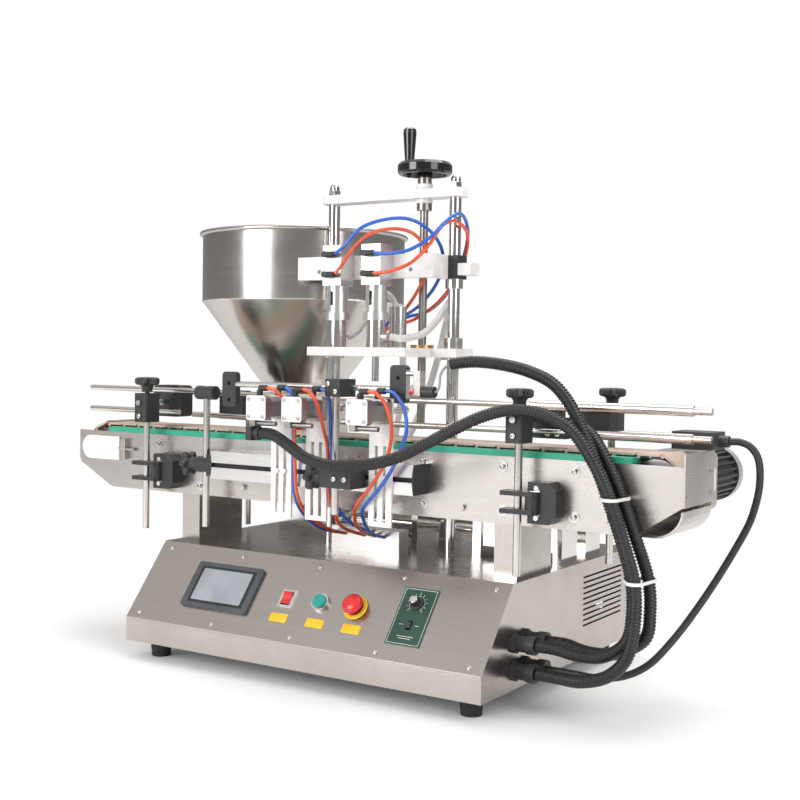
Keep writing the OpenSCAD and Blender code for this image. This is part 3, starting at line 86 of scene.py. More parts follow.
view_yaw, view_tilt, view_roll = (math.radians(a) for a in (32.531, 1.956, 0.929))
forward = Vector((-math.sin(view_yaw) * math.cos(view_tilt), math.cos(view_yaw) * math.cos(view_tilt),
                  -math.sin(view_tilt)))
level_right = Vector((math.cos(view_yaw), math.sin(view_yaw), 0))
level_up = level_right.cross(forward)
right = level_right * math.cos(view_roll) + level_up * math.sin(view_roll)
up = level_up * math.cos(view_roll) - level_right * math.sin(view_roll)
camera_data = bpy.data.cameras.new("camera")
camera_data.sensor_width = 36
camera_data.lens = 55.65
camera_data.clip_end = 60
camera = bpy.data.objects.new("camera", camera_data)
turn = Matrix((right, up, -forward)).transposed().to_4x4()
camera.matrix_world = Matrix.Translation(at(1.1893, -1.5435, 0.5254)) @ turn
scene.collection.objects.link(camera)
scene.camera = camera


def add(tree, kind, values=None, **settings):
    """A shader or geometry node with its settings. Each socket is set to a value, or linked to another
    socket or to a node's first output."""
    node = tree.nodes.new(kind)
    for key, value in settings.items():
        setattr(node, key, value)
    for key, value in (values or {}).items():
        if isinstance(value, bpy.types.Node):
            value = value.outputs[0]
        if isinstance(value, bpy.types.NodeSocket):
            tree.links.new(value, node.inputs[key])
        else:
            node.inputs[key].default_value = value
    return node


def maths(tree, operation, *terms, **settings):
    """A maths node that works on its terms in order."""
    return add(tree, "ShaderNodeMath", dict(enumerate(terms)), operation=operation, **settings)


world = bpy.data.worlds.new("studio_sky")
scene.world = world
world.use_nodes = True
sky = world.node_tree
sky.nodes.clear()
sky_way = add(sky, "ShaderNodeTexCoord")
sky_parts = add(sky, "ShaderNodeSeparateXYZ", {"Vector": sky_way.outputs["Generated"]})
sky_ramp = add(sky, "ShaderNodeValToRGB", {"Fac": sky_parts.outputs["Z"]})
stops = sky_ramp.color_ramp.elements
for place in (0.16, 0.42):
    stops.new(place)
for stop, grey in zip(stops, (0.34, 0.22, 0.58, 0.95)):
    stop.color = (grey, grey * 0.985, grey * 0.965, 1)
seen = add(sky, "ShaderNodeLightPath")
lit = add(sky, "ShaderNodeBackground", {"Color": sky_ramp.outputs["Color"], "Strength": 0.95})
plain = add(sky, "ShaderNodeBackground", {"Color": (1.0, 1.0, 1.0, 1), "Strength": 1.0})
either = add(sky, "ShaderNodeMixShader", {0: seen.outputs["Is Camera Ray"], 1: lit, 2: plain})
add(sky, "ShaderNodeOutputWorld", {"Surface": either})


def soft_box(name, place, target, size, power):
    lamp = bpy.data.lights.new(name, "AREA")
    lamp.shape = "RECTANGLE"
    lamp.size, lamp.size_y = size
    lamp.energy = power
    box = bpy.data.objects.new(name, lamp)
    aim = (target - place).to_track_quat("-Z", "Y")
    box.matrix_world = Matrix.Translation(place) @ aim.to_matrix().to_4x4()
    scene.collection.objects.link(box)


middle = at(0, 0.25, 0.4)
soft_box("key_light", at(-1.2, -3.0, 1.5), middle, (1.8, 1.8), 74)
soft_box("fill_light", at(2.6, -0.6, 1.7), middle, (1.4, 2.2), 34)
soft_box("top_light", at(0.0, 0.9, 2.9), middle, (2.4, 1.6), 44)

floor_mesh = bpy.data.meshes.new("floor")
reach = 30
floor_mesh.from_pydata([(-reach, -reach, 0), (reach, -reach, 0), (reach, reach, 0), (-reach, reach, 0)], [],
                       [(0, 1, 2, 3)])
floor = bpy.data.objects.new("floor", floor_mesh)
scene.collection.objects.link(floor)
floor_paint = bpy.data.materials.new("pale_floor")
floor_paint.use_nodes = True
floor_tree = floor_paint.node_tree
floor_shader = floor_tree.nodes["Principled BSDF"]
floor_shader.inputs["Base Color"].default_value = (0.93, 0.93, 0.93, 1)
floor_shader.inputs["Roughness"].default_value = 0.7
floor_spot = add(floor_tree, "ShaderNodeTexCoord")
away = add(floor_tree, "ShaderNodeVectorMath", {0: floor_spot.outputs["Object"]}, operation="LENGTH")
faded = add(floor_tree, "ShaderNodeMapRange", {"Value": away.outputs["Value"], "From Min": 0.75,
                                               "From Max": 1.7}, interpolation_type="SMOOTHSTEP")
watched = add(floor_tree, "ShaderNodeLightPath")
fade = maths(floor_tree, "MULTIPLY", faded, watched.outputs["Is Camera Ray"])
white = add(floor_tree, "ShaderNodeEmission", {"Color": (1, 1, 1, 1), "Strength": 1.0})
ground = add(floor_tree, "ShaderNodeMixShader", {0: fade, 1: floor_shader, 2: white})
floor_tree.links.new(ground.outputs[0], floor_tree.nodes["Material Output"].inputs["Surface"])
floor_mesh.materials.append(floor_paint)
floor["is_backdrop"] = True

# ---------------------------------------------------------------- black plastics
# Glass-filled nylon, corrugated conduit, cable sheath and rubber. All are moulded or extruded, with a
# fine grain, edges rubbed a little lighter and dust on what faces up.


def new_group(name, inputs, outputs):
    group = bpy.data.node_groups.new(name, "ShaderNodeTree")
    for label, kind, value in inputs:
        socket = group.interface.new_socket(label, in_out="INPUT", socket_type=kind)
        if value is not None:
            socket.default_value = value
    for label, kind in outputs:
        group.interface.new_socket(label, in_out="OUTPUT", socket_type=kind)
    return group


moulded = new_group("moulded_skin", [
    ("Colour", "NodeSocketColor", (0.5, 0.5, 0.5, 1)), ("Roughness", "NodeSocketFloat", 0.5),
    ("Grain", "NodeSocketFloat", 1200.0), ("Bump", "NodeSocketFloat", 0.12),
    ("Edge", "NodeSocketFloat", 0.0008), ("Wear", "NodeSocketFloat", 0.4), ("Dust", "NodeSocketFloat", 0.1)],
    [("Colour", "NodeSocketColor"), ("Roughness", "NodeSocketFloat"), ("Normal", "NodeSocketVector")])
given = add(moulded, "NodeGroupInput")
spot = add(moulded, "ShaderNodeTexCoord")
grain = add(moulded, "ShaderNodeTexNoise", {"Vector": spot.outputs["Object"], "Scale": given.outputs["Grain"],
                                            "Detail": 3.0})
cloud = add(moulded, "ShaderNodeTexNoise", {"Vector": spot.outputs["Object"], "Scale": 26.0, "Detail": 4.0})
rounded = add(moulded, "ShaderNodeBevel", {"Radius": given.outputs["Edge"]}, samples=4)
shape = add(moulded, "ShaderNodeNewGeometry")
facing = add(moulded, "ShaderNodeVectorMath", {0: rounded, 1: shape.outputs["True Normal"]},
             operation="DOT_PRODUCT")
edge = add(moulded, "ShaderNodeMapRange", {"Value": facing.outputs["Value"], "From Min": 1.0, "From Max": 0.86})
rubbed = maths(moulded, "MULTIPLY", edge, cloud.outputs["Fac"])
rubbed_share = maths(moulded, "MULTIPLY", rubbed, given.outputs["Wear"])
tone = add(moulded, "ShaderNodeMapRange", {"Value": cloud.outputs["Fac"], "From Min": 0.3, "From Max": 0.7,
                                           "To Min": 0.86, "To Max": 1.12})
toned = add(moulded, "ShaderNodeVectorMath", {0: given.outputs["Colour"], "Scale": tone}, operation="SCALE")
worn = add(moulded, "ShaderNodeMix", {"Factor": rubbed_share, "A": toned, "B": (0.62, 0.62, 0.61, 1)},
           data_type="RGBA")
parts = add(moulded, "ShaderNodeSeparateXYZ", {0: shape.outputs["Normal"]})
upward = add(moulded, "ShaderNodeMapRange", {"Value": parts.outputs["Z"], "From Min": 0.5, "From Max": 1.0})
settled = maths(moulded, "MULTIPLY", upward, cloud.outputs["Fac"])
dusty = maths(moulded, "MULTIPLY", settled, given.outputs["Dust"])
dusted = add(moulded, "ShaderNodeMix", {"Factor": dusty, "A": worn.outputs["Result"],
                                        "B": (0.66, 0.64, 0.60, 1)}, data_type="RGBA")
dull = add(moulded, "ShaderNodeMapRange", {"Value": cloud.outputs["Fac"], "From Min": 0.25, "From Max": 0.75,
                                           "To Min": -0.06, "To Max": 0.08})
rough = maths(moulded, "ADD", given.outputs["Roughness"], dull, use_clamp=True)
bumped = add(moulded, "ShaderNodeBump", {"Height": grain.outputs["Fac"], "Strength": given.outputs["Bump"],
                                         "Distance": 0.0004, "Normal": rounded})
add(moulded, "NodeGroupOutput", {"Colour": dusted.outputs["Result"], "Roughness": rough, "Normal": bumped})


def material_with(name, group, inputs, **constants):
    """A material whose colour, roughness and normal come from a group, with constants on the shader."""
    made = bpy.data.materials.new(name)
    made.use_nodes = True
    tree = made.node_tree
    shader = tree.nodes["Principled BSDF"]
    skin = tree.nodes.new("ShaderNodeGroup")
    skin.node_tree = group
    for label, value in inputs.items():
        skin.inputs[label].default_value = value
    tree.links.new(skin.outputs["Colour"], shader.inputs["Base Color"])
    tree.links.new(skin.outputs["Roughness"], shader.inputs["Roughness"])
    tree.links.new(skin.outputs["Normal"], shader.inputs["Normal"])
    for label, value in constants.items():
        shader.inputs[label.replace("_", " ").title().replace("Ior", "IOR")].default_value = value
    return made


def plastic(name, colour, roughness=0.5, grain=1200.0, bump=0.12, edge=0.0008, wear=0.4, dust=0.1, **constants):
    return material_with(name, moulded, {"Colour": (*colour, 1), "Roughness": roughness, "Grain": grain,
                                         "Bump": bump, "Edge": edge, "Wear": wear, "Dust": dust}, **constants)


def paint(material, *names):
    for name in names:
        mesh = nodes[name].data
        mesh.materials.clear()
        mesh.materials.append(material)


nylon = plastic("black_nylon", (0.022, 0.022, 0.024), 0.46, grain=900.0, bump=0.25, edge=0.0012, wear=0.16,
                dust=0.12)
rubber = plastic("black_rubber", (0.018, 0.018, 0.018), 0.72, bump=0.3, wear=0.1, dust=0.3)
conduit_plastic = plastic("conduit_plastic", (0.012, 0.012, 0.013), 0.34, bump=0.04, edge=0.0002, wear=0.0,
                          dust=0.05)
cable_sheath = plastic("cable_sheath", (0.02, 0.02, 0.021), 0.42, bump=0.06, edge=0.0002, wear=0.0, dust=0.06)
paint(nylon, "bracket_clamps", "photo_sensor", "side_connectors", "direction_toggle", "speed_knob")
paint(rubber, "rubber_feet")

# ---------------------------------------------------------------- conduits and cables
# Three corrugated conduits run from round connectors on the cabinet's side to the photo sensor, the first
# gate and a rail holder; a plain cable serves the motor and a thin grey wire leaves the sensor's conduit.


def smooth_route(points, steps=10):
    """Dense points on the smooth curve through a route's own points, which are in millimetres."""
    route = [at(x / 1000, y / 1000, z / 1000) for x, y, z in points]
    dense = []
    for i in range(len(route) - 1):
        a, b, c, d = (route[max(i - 1, 0)], route[i], route[i + 1], route[min(i + 2, len(route) - 1)])
        for k in range(steps):
            f = k / steps
            dense.append(0.5 * (2 * b + (c - a) * f + (2 * a - 5 * b + 4 * c - d) * f * f
                                + (3 * b - a - 3 * c + d) * f * f * f))
    dense.append(route[-1])
    return dense


def new_geometry_tree(name, inputs):
    tree = bpy.data.node_groups.new(name, "GeometryNodeTree")
    for label, kind in [("Geometry", "NodeSocketGeometry")] + inputs:
        tree.interface.new_socket(label, in_out="INPUT", socket_type=kind)
    tree.interface.new_socket("Geometry", in_out="OUTPUT", socket_type="NodeSocketGeometry")
    return tree


tube_tree = new_geometry_tree("ribbed_tube", [
    ("Radius", "NodeSocketFloat"), ("Rib Depth", "NodeSocketFloat"), ("Rib Pitch", "NodeSocketFloat"),
    ("Step", "NodeSocketFloat"), ("Sides", "NodeSocketInt"), ("Material", "NodeSocketMaterial")])
tube_in = add(tube_tree, "NodeGroupInput")
even = add(tube_tree, "GeometryNodeResampleCurve", {"Curve": tube_in.outputs["Geometry"],
                                                    "Length": tube_in.outputs["Step"]}, mode="LENGTH")
along = add(tube_tree, "GeometryNodeSplineParameter")
turns = maths(tube_tree, "DIVIDE", along.outputs["Length"], tube_in.outputs["Rib Pitch"])
phase = maths(tube_tree, "MULTIPLY", turns, 2 * math.pi)
wave = maths(tube_tree, "COSINE", phase)
lowered = add(tube_tree, "ShaderNodeMapRange", {"Value": wave, "From Min": -0.6, "From Max": 0.6})
dip = maths(tube_tree, "MULTIPLY", lowered, tube_in.outputs["Rib Depth"])
girth = maths(tube_tree, "SUBTRACT", tube_in.outputs["Radius"], dip)
sized = add(tube_tree, "GeometryNodeSetCurveRadius", {"Curve": even, "Radius": girth})
ring = add(tube_tree, "GeometryNodeCurvePrimitiveCircle", {"Resolution": tube_in.outputs["Sides"],
                                                           "Radius": 1.0})
swept = add(tube_tree, "GeometryNodeCurveToMesh", {"Curve": sized, "Profile Curve": ring, "Fill Caps": True})
if "Scale" in swept.inputs:
    tube_tree.links.new(girth.outputs[0], swept.inputs["Scale"])
tube_real = add(tube_tree, "GeometryNodeRealizeInstances", {0: swept})
tube_skin = add(tube_tree, "GeometryNodeSetMaterial", {"Geometry": tube_real,
                                                       "Material": tube_in.outputs["Material"]})
add(tube_tree, "NodeGroupOutput", {"Geometry": tube_skin})


def run_tree(source, tree, values):
    """Evaluates a geometry tree on an object and gives its result back as a plain mesh object."""
    sockets = {s.name: s.identifier for s in tree.interface.items_tree if s.in_out == "INPUT"}
    maker = source.modifiers.new("maker", "NODES")
    maker.node_group = tree
    for label, value in values.items():
        maker[sockets[label]] = value
    depsgraph = bpy.context.evaluated_depsgraph_get()
    mesh = bpy.data.meshes.new_from_object(source.evaluated_get(depsgraph), depsgraph=depsgraph)
    name = source.name
    source.modifiers.remove(maker)
    bpy.data.objects.remove(source)
    mesh.name = name
    made = bpy.data.objects.new(name, mesh)
    scene.collection.objects.link(made)
    return made


def tube(name, points, radius, material, sides=16, step=0.004, rib_depth=0.0, rib_pitch=0.004):
    line = bpy.data.curves.new(name + "_line", "CURVE")
    line.dimensions = "3D"
    spline = line.splines.new("POLY")
    spline.points.add(len(points) - 1)
    for point, place in zip(spline.points, points):
        point.co = (*place, 1)
    source = bpy.data.objects.new(name, line)
    scene.collection.objects.link(source)
    made = run_tree(source, tube_tree, {"Radius": radius, "Rib Depth": rib_depth, "Rib Pitch": rib_pitch,
                                        "Step": step, "Sides": sides, "Material": material})
    made.data.polygons.foreach_set("use_smooth", [True] * len(made.data.polygons))
    return made


def free_cord(piece, node, body="frame"):
    if body:
        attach(piece, body)
    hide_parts(node)


conduit_d, motor_cable_d, wire_d = 0.019, 0.011, 0.004
rib_pitch = 0.0048
conduit_routes = {
    "sensor_conduit": [
        (388, 100, 102), (418, 100, 102), (458, 98, 98), (498, 94, 104), (530, 94, 128), (538, 95, 165),
        (535, 97, 215), (518, 98, 270), (496, 97, 330), (475, 97, 382), (454, 100, 425), (430, 105, 463),
        (400, 108, 492), (358, 110, 509), (312, 110, 518), (270, 104, 521), (235, 96, 517)],
    "gate_conduit": [
        (388, 100, 60), (423, 100, 60), (466, 86, 64), (510, 78, 80), (540, 74, 112), (550, 74, 160),
        (548, 76, 215), (530, 77, 272), (508, 78, 330), (482, 78, 380), (448, 76, 425), (405, 70, 447),
        (360, 60, 452), (320, 48, 442), (280, 34, 422), (235, 18, 396), (190, 6, 374), (140, -1.5, 362),
        (85, -3, 358), (30, 4, 366), (-12, 14, 383), (-42, 19, 396), (-58, 20, 399.5), (-74, 20, 399.5)],
    "rail_conduit": [
        (388, 137, 102), (418, 137, 102), (458, 126, 98), (504, 118, 104), (548, 118, 130), (556, 117, 170),
        (552, 117, 218), (532, 116, 275), (512, 115, 326), (494, 115, 366), (472, 121, 400),
        (447, 140, 419), (418.5, 164, 424)],
}
for name, route in conduit_routes.items():
    line = smooth_route(route)
    piece = tube(name, line, conduit_d / 2, conduit_plastic, sides=20, step=rib_pitch / 6,
                 rib_depth=conduit_d * 0.065, rib_pitch=rib_pitch)
    free_cord(piece, "conduits")

motor_line = smooth_route([
    (599.5, 320, 405), (617.5, 320, 405), (634.5, 319, 397), (646.5, 316, 378), (650.3, 310, 345),
    (646.5, 302, 310), (636.5, 292, 275), (608.5, 262, 210), (584.5, 232, 160), (562, 200, 118),
    (538, 168, 84), (508, 148, 66), (470, 139, 59), (430, 137, 60), (388, 137, 60)])
free_cord(tube("motor_cable", motor_line, motor_cable_d / 2, cable_sheath),
          "conduits")
wire_grey = plastic("wire_grey", (0.30, 0.30, 0.31), 0.4, bump=0.05, edge=0.0001, wear=0.0)
wire_line = smooth_route([
    (235, 96, 517), (226, 93, 511), (221, 89, 500), (221, 87, 487), (219, 86, 477), (213, 86, 473)])
free_cord(tube("sensor_wire", wire_line, wire_d / 2, wire_grey, sides=10, step=0.003),
          "conduits")

bundles = (((0.535, 0.097), (0.548, 0.076), (0.552, 0.117), 0.2165),
           ((0.496, 0.097), (0.508, 0.078), (0.5108, 0.115), 0.330))
tie_clear, tie_t, tie_half = 0.0106, 0.0013, 0.0023


def bundle_tie(shape_mesh, centres, level):
    """A flat nylon tie drawn round a bundle, its outline the furthest reach of the bundle each way."""
    outline = []
    for k in range(72):
        a = 2 * math.pi * k / 72
        way = Vector((math.cos(a), math.sin(a)))
        outline.append((max((Vector(c) for c in centres), key=lambda c: c.dot(way)), way))
    rings = [[(*(centre + way * reach), h) for centre, way in outline]
             for reach, h in ((tie_clear, -tie_half), (tie_clear + tie_t, -tie_half),
                              (tie_clear + tie_t, tie_half), (tie_clear, tie_half))]
    loft(shape_mesh, rings, Matrix.Translation(at(0, 0, level)), closed=True)


# ---------------------------------------------------------------- air tubes and product hoses
# Polyurethane air tubes, orange to the front port and blue to the rear port of each cylinder, and clear
# silicone hoses from the dosing cylinders to the nozzles. All push onto their fittings.
tube_d, hose_d = 0.006, 0.012


def tube_plastic(name, colour):
    return plastic(name, colour, 0.24, bump=0.03, edge=0.0001, wear=0.0, dust=0.03, coat_weight=0.3,
                   transmission_weight=0.12)


orange_tube = tube_plastic("orange_tube", (0.80, 0.10, 0.03))
blue_tube = tube_plastic("blue_tube", (0.02, 0.13, 0.60))
gate_routes = {
    "gate_front_tube": [
        [(-63, 20, 473), (-50, 20, 472), (-40, 26, 462), (-34, 40, 442), (-33, 54, 415), (-36, 61, 380),
         (-36, 63, 340), (-38, 71, 300), (-40, 100, 265), (-40, 160, 233), (-40, 215, 219)],
        [(9, 20, 473), (20, 20, 471), (28, 28, 458), (27, 42, 436), (23, 58, 410), (20.4, 72, 384),
         (20.4, 76, 350), (20.4, 77, 318), (18, 92, 282), (5, 140, 242), (0, 215, 219)],
        [(134, 20, 473), (148, 22, 470), (159, 32, 452), (162, 44, 420), (154, 52, 385), (136, 56, 350),
         (112, 60, 320), (88, 68, 298), (64, 90, 276), (38, 140, 242), (21, 214.5, 219)]],
    "gate_rear_tube": [
        [(-63, 68, 473), (-54, 68, 470), (-48, 68, 458), (-46, 68, 430), (-46, 70, 390), (-47, 71, 345),
         (-49, 77, 304), (-52, 102, 268), (-58, 160, 234), (-60, 215, 219)],
        [(9, 68, 473), (19, 68, 470), (27, 67, 456), (31, 66, 432), (30, 69, 404), (27.4, 75, 376),
         (27.4, 77, 345), (27.4, 77, 314), (27, 94, 282), (22, 140, 250), (14, 215, 225)],
        [(134, 68, 473), (150, 68, 470), (170, 66, 448), (178, 62, 415), (168, 62, 385), (150, 64, 350),
         (124, 68, 318), (100, 74, 296), (78, 92, 278), (56, 134, 250), (44, 172, 230), (40, 215, 219)]],
}
for kind, material in (("gate_front_tube", orange_tube), ("gate_rear_tube", blue_tube)):
    for k, route in enumerate(gate_routes[kind]):
        line = smooth_route(route)
        free_cord(tube("%s_%d" % (kind, k + 1), line, tube_d / 2, material, sides=12),
                  "gate_tubes")

head_routes = [
    [(42, 166, 699), (73, 168, 697), (106, 178, 703), (134, 196, 724), (150, 216, 750), (156, 244, 766),
     (152, 276, 762), (142, 306, 738), (126, 320, 700), (104, 325, 656), (76, 326, 624), (50, 322, 606),
     (26, 314, 600), (9, 304, 590), (4, 297, 567)],
    [(42, 166, 665), (72, 170, 668), (106, 182, 682), (130, 199, 712), (142, 216, 742), (148, 240, 754),
     (150, 264, 752), (148, 293, 738), (136, 311, 706), (116, 314, 664), (84, 306, 622), (46, 295, 594),
     (14, 288, 583), (0, 290, 578), (-8, 297, 568.2)],
    [(-36.5, 166, 699.5), (-15, 166, 714), (10, 175, 742), (46, 196, 757), (78, 220, 758), (98, 250, 742),
     (104, 280, 716), (98, 298, 684), (80, 300, 648), (52, 295, 616), (18, 290, 596), (-8, 291, 588),
     (-20, 297, 567.5)],
    [(-35.8, 166, 666), (-23, 169, 682), (-8, 178, 708), (18, 188, 732), (50, 206, 742), (78, 228, 736),
     (90, 250, 712), (86, 265, 676), (67, 266, 640), (42, 263, 606), (14, 259, 578), (-9, 266, 559),
     (-18, 285.6, 554)],
]
for k, route in enumerate(head_routes):
    line = smooth_route(route)
    tube_colour = blue_tube if k % 2 == 0 else orange_tube
    free_cord(tube("head_tube_%d" % (k + 1), line, tube_d / 2, tube_colour, sides=12),
              "head_tubes", body="head")

hose_silicone = plastic("hose_silicone", (0.86, 0.84, 0.82), 0.28, bump=0.04, edge=0.0001, wear=0.0, dust=0.05,
                        transmission_weight=0.55, ior=1.41)
hose_routes = {
    "left": [
        (-50, 221, 560), (-50, 240, 563), (-48, 262, 577), (-46, 284, 604), (-44, 308, 632),
        (-40, 336, 640), (-38, 362, 618), (-38, 382, 570), (-44, 398, 500), (-60, 412, 420),
        (-80, 424, 350), (-96, 430, 300), (-100, 430, 263.8)],
    "right": [
        (57.8, 196, 560), (82, 208, 558), (102, 234, 568), (107, 266, 590), (106, 300, 614), (98, 330, 628),
        (82, 352, 616), (66, 362, 576), (48, 368, 520), (24, 370, 455), (-4, 366, 390), (-44, 356, 330),
        (-84, 342, 296), (-100, 335, 266)],
}
for side, route in hose_routes.items():
    line = smooth_route(route)
    hose = tube("product_hose_" + side, line, hose_d / 2, hose_silicone, sides=16)
    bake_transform(hose)
    free_cord(hose, "product_hoses", body=None)

# ---------------------------------------------------------------- cabinet and control panel
# Folded from 2 mm stainless sheet and brushed along its length; the sloped panel is a separate sheet held
# by ten screws. Fine streaks, faint hand marks and a dull glow come from the brushing.
brushed = new_group("brushed_metal", [
    ("Colour", "NodeSocketColor", (0.6, 0.6, 0.6, 1)), ("Roughness", "NodeSocketFloat", 0.3),
    ("Grain", "NodeSocketVector", (6.0, 900.0, 900.0)), ("Streaks", "NodeSocketFloat", 0.12),
    ("Bump", "NodeSocketFloat", 0.1), ("Edge", "NodeSocketFloat", 0.0006), ("Marks", "NodeSocketFloat", 0.1)],
    [("Colour", "NodeSocketColor"), ("Roughness", "NodeSocketFloat"), ("Normal", "NodeSocketVector")])
given = add(brushed, "NodeGroupInput")
spot = add(brushed, "ShaderNodeTexCoord")
stretched = add(brushed, "ShaderNodeVectorMath", {0: spot.outputs["Object"], 1: given.outputs["Grain"]},
                operation="MULTIPLY")
fine = add(brushed, "ShaderNodeTexNoise", {"Vector": stretched, "Scale": 1.0, "Detail": 6.0, "Roughness": 0.7})
broad = add(brushed, "ShaderNodeTexNoise", {"Vector": stretched, "Scale": 0.16, "Detail": 4.0,
                                            "Roughness": 0.6})
handled = add(brushed, "ShaderNodeTexNoise", {"Vector": spot.outputs["Object"], "Scale": 9.0, "Detail": 6.0,
                                              "Roughness": 0.62})
streak = add(brushed, "ShaderNodeMix", {"Factor": 0.45, "A": fine.outputs["Fac"], "B": broad.outputs["Fac"]})
centred = maths(brushed, "SUBTRACT", streak.outputs["Result"], 0.5)
spread = maths(brushed, "MULTIPLY", centred, given.outputs["Streaks"])
mark = add(brushed, "ShaderNodeMapRange", {"Value": handled.outputs["Fac"], "From Min": 0.35, "From Max": 0.75,
                                           "To Min": -0.5, "To Max": 0.5})
mark_share = maths(brushed, "MULTIPLY", mark, given.outputs["Marks"])
shade = maths(brushed, "SUBTRACT", spread, mark_share)
level = maths(brushed, "ADD", shade, 1.0)
tinted = add(brushed, "ShaderNodeVectorMath", {0: given.outputs["Colour"], "Scale": level}, operation="SCALE")
rough_by = maths(brushed, "ADD", spread, mark_share)
rough_sum = maths(brushed, "ADD", given.outputs["Roughness"], rough_by, use_clamp=True)
soft_edge = add(brushed, "ShaderNodeBevel", {"Radius": given.outputs["Edge"]}, samples=4)
scored = add(brushed, "ShaderNodeBump", {"Height": streak.outputs["Result"], "Strength": given.outputs["Bump"],
                                         "Distance": 0.0003, "Normal": soft_edge})
add(brushed, "NodeGroupOutput", {"Colour": tinted, "Roughness": rough_sum, "Normal": scored})


def metal(name, colour, roughness, grain, streaks=0.14, bump=0.1, marks=0.1, edge=0.0006):
    return material_with(name, brushed, {"Colour": (*colour, 1), "Roughness": roughness, "Grain": grain,
                                         "Streaks": streaks, "Bump": bump, "Marks": marks, "Edge": edge},
                         metallic=1.0)


cabinet_steel = metal("cabinet_steel", (0.46, 0.42, 0.395), 0.27, (5.0, 700.0, 700.0), marks=0.14)
panel_steel = metal("panel_steel", (0.46, 0.42, 0.395), 0.30, (5.0, 600.0, 600.0), marks=0.12)
zinc_steel = metal("zinc_steel", (0.50, 0.51, 0.52), 0.42, (60.0, 60.0, 60.0), marks=0.3)
paint(cabinet_steel, "cabinet_shell")
paint(panel_steel, "control_panel")
paint(zinc_steel, "base_plate")
circuit_plastic = plastic("circuit_plastic", (0.10, 0.13, 0.14), 0.5)
paint(circuit_plastic, "inner_electronics")

crease = math.radians(38)
slope_low, slope_high = at(0, 0, 0.071), at(0, 0.096, 0.191)
slope_along = (slope_high - slope_low).normalized()
slope_out = Vector((0, -slope_along.z, slope_along.y))


def on_slope(across, along_slope):
    """A frame on the sloped panel: X across, Y up the slope, Z out of it."""
    place = slope_low + Vector((across, 0, 0)) + slope_along * along_slope
    axes = Matrix((Vector((1, 0, 0)), slope_along, slope_out)).transposed().to_4x4()
    return Matrix.Translation(place) @ axes


def finish_piece(name, shape_mesh, material, body, smooth=True):
    """Puts a bmesh into the scene as a piece at the origin, with its doubles merged and normals out."""
    bmesh.ops.remove_doubles(shape_mesh, verts=shape_mesh.verts, dist=1e-6)
    bmesh.ops.recalc_face_normals(shape_mesh, faces=shape_mesh.faces)
    mesh = bpy.data.meshes.new(name)
    shape_mesh.to_mesh(mesh)
    shape_mesh.free()
    if material:
        mesh.materials.append(material)
    if smooth:
        mesh.shade_smooth()
        mesh.set_sharp_from_angle(angle=crease)
    made = bpy.data.objects.new(name, mesh)
    scene.collection.objects.link(made)
    if body:
        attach(made, body)
    return made


def loft(shape_mesh, rings, frame_matrix, closed=False):
    """Skins rings of equal point counts, and caps the two ends or joins the last ring to the first."""
    made = [[shape_mesh.verts.new(frame_matrix @ Vector(p)) for p in ring_points] for ring_points in rings]
    pairs = list(zip(made, made[1:])) + ([(made[-1], made[0])] if closed else [])
    for one, two in pairs:
        for i in range(len(one)):
            j = (i + 1) % len(one)
            shape_mesh.faces.new((one[i], one[j], two[j], two[i]))
    if not closed:
        shape_mesh.faces.new(list(reversed(made[0])))
        shape_mesh.faces.new(made[-1])


def turned(shape_mesh, profile, frame_matrix, count=32, closed=False):
    """A lathe shape: profile lists (radius, height)."""
    rings = [[(r * math.cos(2 * math.pi * k / count), r * math.sin(2 * math.pi * k / count), h)
              for k in range(count)] for r, h in profile]
    loft(shape_mesh, rings, frame_matrix, closed)


def arc(centre_r, centre_h, radius, start, end, count=5):
    """Points (radius, height) of a fillet, from the start angle to the end angle in degrees."""
    angles = [math.radians(start + (end - start) * k / count) for k in range(count + 1)]
    return [(centre_r + radius * math.cos(a), centre_h + radius * math.sin(a)) for a in angles]


def rounded_plate(width, height, corner, count=6):
    """Outline of a rounded rectangle, anticlockwise, as (x, y)."""
    outline = []
    for sx, sy, start in ((1, 1, 0), (-1, 1, 90), (-1, -1, 180), (1, -1, 270)):
        for k in range(count + 1):
            a = math.radians(start + 90 * k / count)
            outline.append((sx * (width / 2 - corner) + corner * math.cos(a),
                            sy * (height / 2 - corner) + corner * math.sin(a)))
    return outline


def plate_loft(shape_mesh, width, height, corner, low, high, frame_matrix, soften=0.0):
    steps = [(0.0, low)] + ([(0.0, high - soften), (soften * 0.3, high - soften * 0.3), (soften, high)]
                            if soften else [(0.0, high)])
    rings = [[(x, y, z) for x, y in rounded_plate(width - 2 * inset, height - 2 * inset, corner - inset * 0.6)]
             for inset, z in steps]
    loft(shape_mesh, rings, frame_matrix)


fastener_tree = new_geometry_tree("placed_fasteners", [
    ("Fastener", "NodeSocketObject"), ("Size", "NodeSocketFloat"), ("Material", "NodeSocketMaterial")])
spots_in = add(fastener_tree, "NodeGroupInput")
fastener = add(fastener_tree, "GeometryNodeObjectInfo", {"Object": spots_in.outputs["Fastener"]})
way_out = add(fastener_tree, "GeometryNodeInputNamedAttribute", {"Name": "facing"}, data_type="FLOAT_VECTOR")
way_along = add(fastener_tree, "GeometryNodeInputNamedAttribute", {"Name": "along"}, data_type="FLOAT_VECTOR")
stood = add(fastener_tree, "FunctionNodeAlignRotationToVector", {"Vector": way_out}, axis="Z")
swung = add(fastener_tree, "FunctionNodeAlignRotationToVector", {"Rotation": stood, "Vector": way_along},
            axis="X", pivot_axis="Z")
big = add(fastener_tree, "ShaderNodeCombineXYZ", {"X": spots_in.outputs["Size"], "Y": spots_in.outputs["Size"],
                                                  "Z": spots_in.outputs["Size"]})
